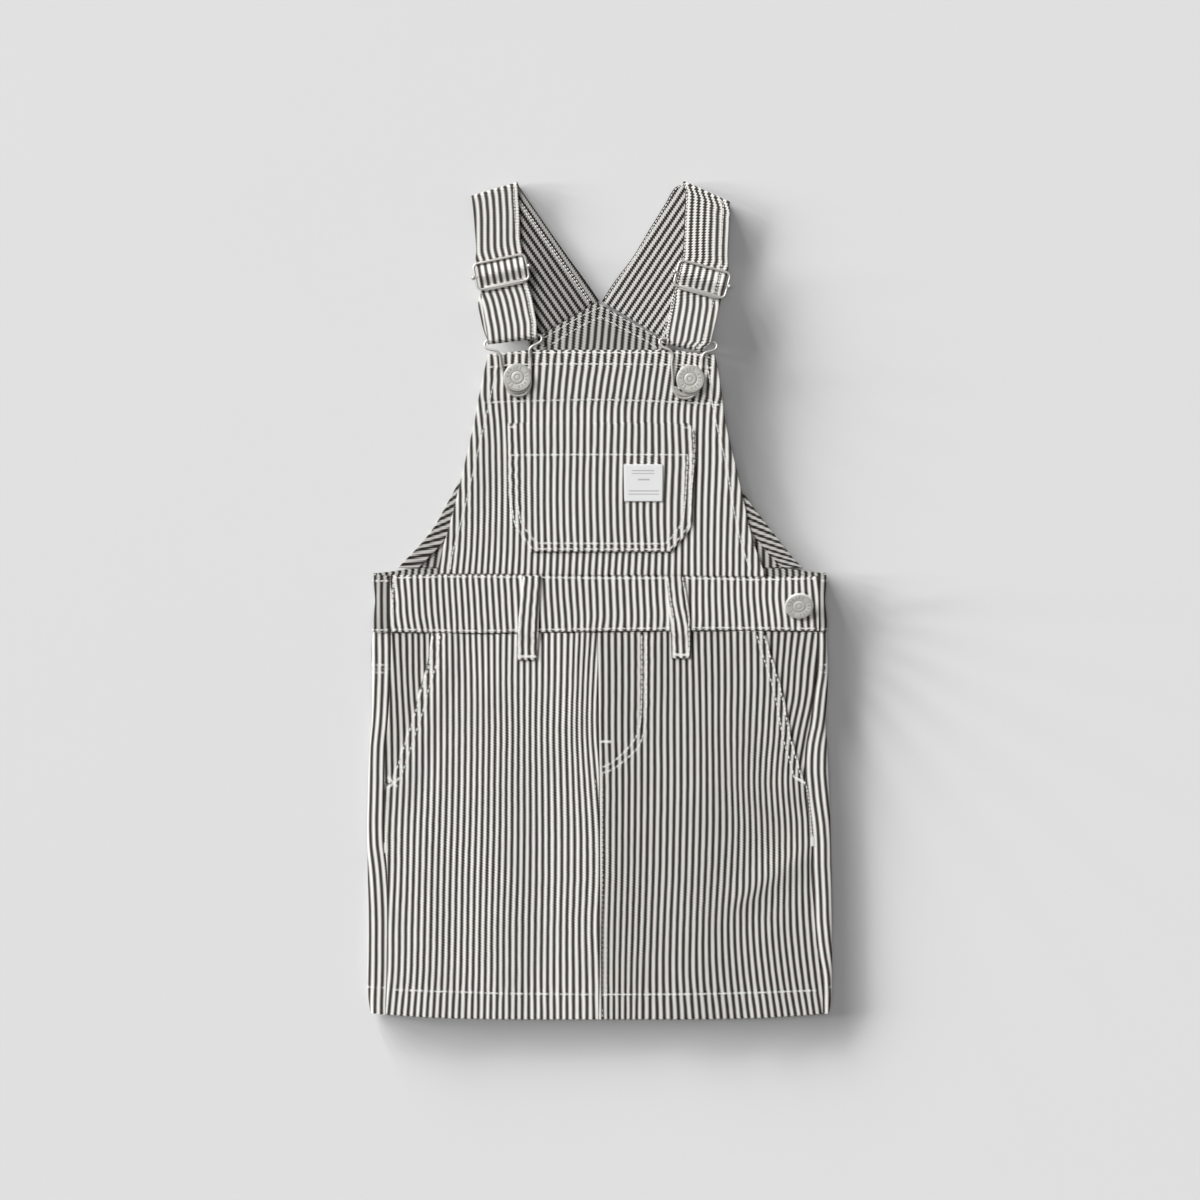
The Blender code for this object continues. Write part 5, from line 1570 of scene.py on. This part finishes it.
# %% Shader maths
class Socket:
    """An output of a node, written in sums as if it were a number."""

    def __init__(self, tree, socket):
        self.tree = tree
        self.socket = socket

    def maths(self, operation, *values, clamp=False):
        node = self.tree.nodes.new("ShaderNodeMath")
        node.operation = operation
        node.use_clamp = clamp
        for place, value in zip(node.inputs, values):
            if isinstance(value, Socket):
                self.tree.links.new(value.socket, place)
            else:
                place.default_value = value
        return Socket(self.tree, node.outputs[0])

    def __add__(self, other):
        return self.maths("ADD", self, other)

    def __radd__(self, other):
        return self.maths("ADD", other, self)

    def __sub__(self, other):
        return self.maths("SUBTRACT", self, other)

    def __rsub__(self, other):
        return self.maths("SUBTRACT", other, self)

    def __mul__(self, other):
        return self.maths("MULTIPLY", self, other)

    def __rmul__(self, other):
        return self.maths("MULTIPLY", other, self)

    def __truediv__(self, other):
        return self.maths("DIVIDE", self, other)

    def part(self, operation, *others, clamp=False):
        return self.maths(operation, self, *others, clamp=clamp)

    def step(self, low, high):
        """0 below low and 1 above high, with a straight slope between."""
        return self.maths("DIVIDE", self - low, high - low, clamp=True)


class Finish:
    """A material being made: node() adds one node and gives back one of its outputs."""

    def __init__(self, name, roughness, metallic=0.0, sheen=0.0):
        self.material = bpy.data.materials.new(name)
        self.material.use_nodes = True
        self.tree = self.material.node_tree
        self.shader = self.tree.nodes["Principled BSDF"]
        self.shader.inputs["Roughness"].default_value = roughness
        self.shader.inputs["Metallic"].default_value = metallic
        self.shader.inputs["Sheen Weight"].default_value = sheen

    def node(self, kind, output, settings=(), **inputs):
        node = self.tree.nodes.new("ShaderNode" + kind)
        for setting, value in settings:
            setattr(node, setting, value)
        for place, value in inputs.items():
            self.join(value, node.inputs[place.replace("_", " ")])
        return Socket(self.tree, node.outputs[output])

    def join(self, value, place):
        if isinstance(value, Socket):
            self.tree.links.new(value.socket, place)
        else:
            place.default_value = value

    def split(self, vector):
        node = self.tree.nodes.new("ShaderNodeSeparateXYZ")
        self.tree.links.new(vector.socket, node.inputs[0])
        return [Socket(self.tree, out) for out in node.outputs]

    def uv(self, name):
        return self.node("UVMap", 0, [("uv_map", name)])

    def blend(self, factor, a, b):
        """One colour turning into another."""
        node = self.tree.nodes.new("ShaderNodeMix")
        node.data_type = "RGBA"
        self.join(factor, node.inputs[0])
        self.join(a, node.inputs[6])
        self.join(b, node.inputs[7])
        return Socket(self.tree, node.outputs[2])

    def noise(self, vector, scale, detail=2.0):
        return self.node("TexNoise", 0, Vector=vector, Scale=scale, Detail=detail)

    def bump(self, height, strength, distance):
        return self.node("Bump", 0, Height=height, Strength=strength, Distance=distance)

    def wear(self, **inputs):
        for place, value in inputs.items():
            self.join(value, self.shader.inputs[place.replace("_", " ")])
        return self.material


print("Shader maths ready for", len(made), "pieces")

# %% Striped twill
STRIPE = 4.05
WHITE_HALF = 0.236
TWILL_STEP = 1.7


def toned(colour, by=1.0):
    """A colour made lighter or darker, with nothing see-through."""
    return tuple(min(1.0, by * v) for v in colour) + (1.0,)


def striped_twill(name, dark, light):
    """Hickory stripe: white and dark stripes of equal width, in a twill that zigzags along them."""
    make = Finish(name, 0.9, sheen=0.05)
    make.shader.inputs["Specular IOR Level"].default_value = 0.25
    place = make.uv("weave")
    number, along, _ = make.split(place)
    solid = make.node("TexCoord", "Object")
    mm = number * STRIPE
    wander = make.noise(make.node("CombineXYZ", 0, X=mm * 0.15, Y=along * 0.12), 1.0) - 0.5
    twill_line = along / TWILL_STEP + number * 1.7
    tooth = twill_line.part("PINGPONG", 0.5) - 0.25
    flat = (number + wander * 0.10 + tooth * 0.54).part("FRACT")
    away = (flat - 0.5).part("ABSOLUTE")
    white = away.step(0.5 - WHITE_HALF - 0.028, 0.5 - WHITE_HALF + 0.028)
    thread = make.noise(make.node("CombineXYZ", 0, X=mm * 3.6, Y=along * 2.2), 1.0, 3.0)
    cloudy = make.noise(solid, 55.0, 3.0)
    breaks = (twill_line + 0.3).part("PINGPONG", 0.5).step(0.34, 0.5)
    spots = make.noise(make.node("CombineXYZ", 0, X=mm * 1.7, Y=along * 1.3), 1.0, 1.0)
    fleck = spots.step(0.35, 0.65) * breaks
    dark_tone = make.blend(thread.step(0.3, 0.72), toned(dark, 0.78), toned(dark, 1.25))
    dark_tone = make.blend(fleck * 0.14, dark_tone, toned(light))
    light_tone = make.blend(thread.step(0.3, 0.72), toned(light, 0.93), toned(light, 1.04))
    colour = make.blend(white, dark_tone, light_tone)
    rib = twill_line.part("PINGPONG", 0.5)
    worn = make.node("HueSaturation", 0, Color=colour, Value=0.90 + cloudy * 0.10 + rib * 0.2)
    weave = rib * 1.2 + thread * 0.8 + (along * 7.5).part("SINE") * (mm * 7.5).part("SINE") * 0.15
    normal = make.bump(weave, 0.25, 0.00012)
    return make.wear(Base_Color=worn, Normal=normal)


# The dark and the light stripes of each cloth, as it lies in the light or in the shade.
TWILLS = {
    "striped_twill": ((0.036, 0.026, 0.021), (0.87, 0.86, 0.82)),
    # Painted shade: the same cloth darkened, for the right front of the skirt and the pocket side pieces.
    "shaded_striped_twill": ((0.020, 0.014, 0.011), (0.725, 0.71, 0.67)),
    # The inner face of the cloth, more muted, with painted shade on top of that.
    "twill_inside": ((0.022, 0.017, 0.014), (0.55, 0.54, 0.515)),
    # Painted light: the same cloth a little lighter on the fronts of the straps.
    "strap_twill": ((0.050, 0.040, 0.034), (0.88, 0.87, 0.83)),
    # Painted shade on the back runs of the straps: deep on the left, lighter on the right.
    "strap_twill_left_back": ((0.012, 0.009, 0.008), (0.40, 0.39, 0.37)),
    "strap_twill_right_back": ((0.026, 0.020, 0.017), (0.70, 0.69, 0.66)),
}
twills = {name: striped_twill(name, *tones) for name, tones in TWILLS.items()}
print("striped twill in", len(twills), "depths of colour")

# %% Thread, label, metal and floor
def plain(name, colour, roughness, noise_scale, spread_by=0.1):
    """A plain finish with a little unevenness."""
    make = Finish(name, roughness)
    cloudy = make.noise(make.node("TexCoord", "Object"), noise_scale, 2.0)
    tone = make.node("HueSaturation", 0, Color=colour, Value=1.0 - spread_by / 2 + cloudy * spread_by)
    return make.wear(Base_Color=tone, Normal=make.bump(cloudy, 0.2, 0.0001))


thread_white = plain("white_thread", (0.92, 0.91, 0.87, 1.0), 0.8, 2200.0, 0.16)
nickel = Finish("matt_nickel", 0.45, metallic=0.7)
grain = nickel.noise(nickel.node("TexCoord", "Object"), 900.0, 3.0)
shine = nickel.node("HueSaturation", 0, Color=(0.62, 0.605, 0.57, 1.0), Value=0.93 + grain * 0.14)
nickel = nickel.wear(Base_Color=shine, Normal=nickel.bump(grain, 0.15, 0.00006))


def turned_nickel(name, colour):
    """Brushed nickel with the rings and plain dashes that are pressed into a button's cap, darkened in colour
    as painted shade in those hollows.
    """
    make = Finish(name, 0.55, metallic=0.4)
    across, up, _ = make.split(make.uv("face"))
    radius = (across * across + up * up).part("SQRT")
    turn = up.part("ARCTAN2", across)

    def ring(at, half):
        """1 within half a width of a circle on the cap."""
        return 1.0 - (radius - at).part("ABSOLUTE").step(half * 0.4, half)

    dashes = (turn * 17.0).part("SINE").step(0.0, 0.4) * (turn * 5.0 + 0.7).part("SINE").step(-0.85, -0.6)
    dashes = dashes * radius.step(0.56, 0.59) * (1.0 - radius.step(0.80, 0.83))
    pressed_and_shaded = ring(0.46, 0.035).part("MAXIMUM", ring(0.19, 0.03)).part("MAXIMUM", ring(0.88, 0.03))
    pressed_and_shaded = pressed_and_shaded.part("MAXIMUM", dashes)
    grain = make.noise(make.node("TexCoord", "Object"), 900.0, 3.0)
    # The pressed rings and dashes are darkened in colour: painted shade in the hollows.
    tone = make.node("HueSaturation", 0, Color=colour, Value=0.95 + grain * 0.10 - pressed_and_shaded * 0.24)
    return make.wear(Base_Color=tone, Normal=make.bump(pressed_and_shaded * -1.0 + grain * 0.2, 0.6, 0.00025))


button_nickel = turned_nickel("button_nickel", (0.56, 0.555, 0.515, 1.0))
# Painted light: the waist button's nickel is much lighter than the bib buttons' to stand in for light its cap
# does not reflect.
brightened_waist_nickel = turned_nickel("waist_button_nickel_painted_light", (0.92, 0.915, 0.865, 1.0))

make = Finish("woven_label", 0.8)
place = make.uv("weave")
across, along, _ = make.split(place)
ribs = (along * 9.0).part("SINE") * 0.5
lines = None
# Plain grey lines on the label: height in plan, from and to across it, and half their width.
for level, low, high, half in (
    (80.5, -0.30, 0.28, 0.35),
    (78.8, -0.30, 0.28, 0.28),
    (75.0, -0.14, 0.16, 0.5),
    (68.0, -0.38, 0.40, 0.35),
    (66.0, -0.38, 0.40, 0.3),
):
    row = 1.0 - (along - level).part("ABSOLUTE").step(half - 0.12, half + 0.12)
    row = row * across.step(low - 0.01, low + 0.01) * (1.0 - across.step(high - 0.01, high + 0.01))
    lines = lines.part("MAXIMUM", row) if lines else row
tone = make.blend(lines * 0.55, (0.80, 0.80, 0.80, 1.0), (0.20, 0.20, 0.20, 1.0))
label = make.wear(Base_Color=tone, Normal=make.bump(ribs, 0.3, 0.0001))

floor_finish = plain("pale_surface", (0.70, 0.70, 0.70, 1.0), 0.85, 6.0, 0.01)

CLOTH_FINISH = {
    # The back bib, its facings and the back band wear the inner face of the cloth with painted shade.
    "back_bib": "twill_inside",
    "armhole_facing_left": "twill_inside",
    "armhole_facing_right": "twill_inside",
    "waistband_back": "twill_inside",
    # The right skirt front and both pocket side pieces wear the cloth darkened with painted shade.
    "skirt_front_right": "shaded_striped_twill",
    "pocket_side_left": "shaded_striped_twill",
    "pocket_side_right": "shaded_striped_twill",
    "strap_left": "strap_twill",
    "strap_right": "strap_twill",
}
for name, piece in made.items():
    twill = CLOTH_FINISH.get(name, "striped_twill")
    if name == "pocket_label":
        finish, slot = label, "woven_label"
    elif "button" in name:
        finish, slot = (brightened_waist_nickel if name == "waist_button" else button_nickel), "nickel"
    elif name.startswith(("clip", "slider")):
        finish, slot = nickel, "nickel"
    else:
        finish, slot = twills[twill], ("twill_inside" if twill == "twill_inside" else "twill")
    piece.data.materials.append(finish)
# Each strap's second material is its back run's cloth with painted shade.
for side, sign in SIDES:
    made["strap_" + side].data.materials.append(twills["strap_twill_" + side + "_back"])
for piece in threads.values():
    piece.data.materials.append(thread_white)
print("finished", len(made), "pieces and", len(threads), "of thread")

# %% Sheets of cloth
THREAD_OF = {
    "skirt_front_right": "skirt_thread",
    "skirt_back": "back_thread",
    "waistband_front": "band_thread",
    "belt_loop_left": "loop_thread",
    "bib_front": "bib_thread",
    "bib_pocket": "pocket_thread",
    "back_bib": "back_bib_thread",
    "strap_left": "strap_thread",
}
for name, (wide, long, area) in areas.items():
    flat = (wide * MM, long * MM)
    part = min(1.0, max(0.31, area / (flat[0] * flat[1])))
    part * flat[0] * flat[1]
    [THREAD_OF[name]] if name in THREAD_OF else []
print("declared", len(areas), "sheets of cloth")

# %% [markdown]
# ## Floor, light and camera

# %% Stage
deselect()
bpy.ops.mesh.primitive_plane_add(size=40.0, location=(0, 0, -0.0002))
floor = bpy.context.object
floor.name = "floor"
floor.data.materials.append(floor_finish)
floor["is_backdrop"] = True

world = bpy.data.worlds.new("studio")
bpy.context.scene.world = world
world.use_nodes = True
background = world.node_tree.nodes["Background"].inputs
background["Color"].default_value = (1.0, 1.0, 1.0, 1.0)
background["Strength"].default_value = 0.23


def low_sun(name, heading, height, spread_by, power, lights):
    """A broad light on some of the pieces; heading and height are the degrees that it comes from."""
    lamp = bpy.data.lights.new(name, "SUN")
    lamp.energy = power
    lamp.angle = math.radians(spread_by)
    sun = put(name, lamp)
    sun.rotation_euler = (math.radians(90 - height), 0.0, math.radians(heading + 90))
    group = bpy.data.collections.new(name + "_lights")
    for piece in lights:
        group.objects.link(piece)
    sun.light_linking.receiver_collection = group


for i in range(6):
    low_sun(f"surface_key_{i + 1}", 114.0 + 13.0 * i, 5.6, 7.6, 3.95, [floor])
low_sun("dress_key", 136.0, 32.0, 30.0, 4.0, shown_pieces())

lamp = bpy.data.lights.new("overhead", "AREA")
lamp.shape = "DISK"
lamp.size = 2.2
lamp.energy = 7.0
put("overhead", lamp).location = (0.0, 0.0, 2.7)

camera = bpy.data.cameras.new("above")
camera.lens = 85.0
camera.sensor_width = 36.0
camera_object = put("above", camera)
camera_object.location = (0.00014, 0.00037, 1.757)
bpy.context.scene.camera = camera_object
bpy.context.scene.view_settings.view_transform = "Standard"
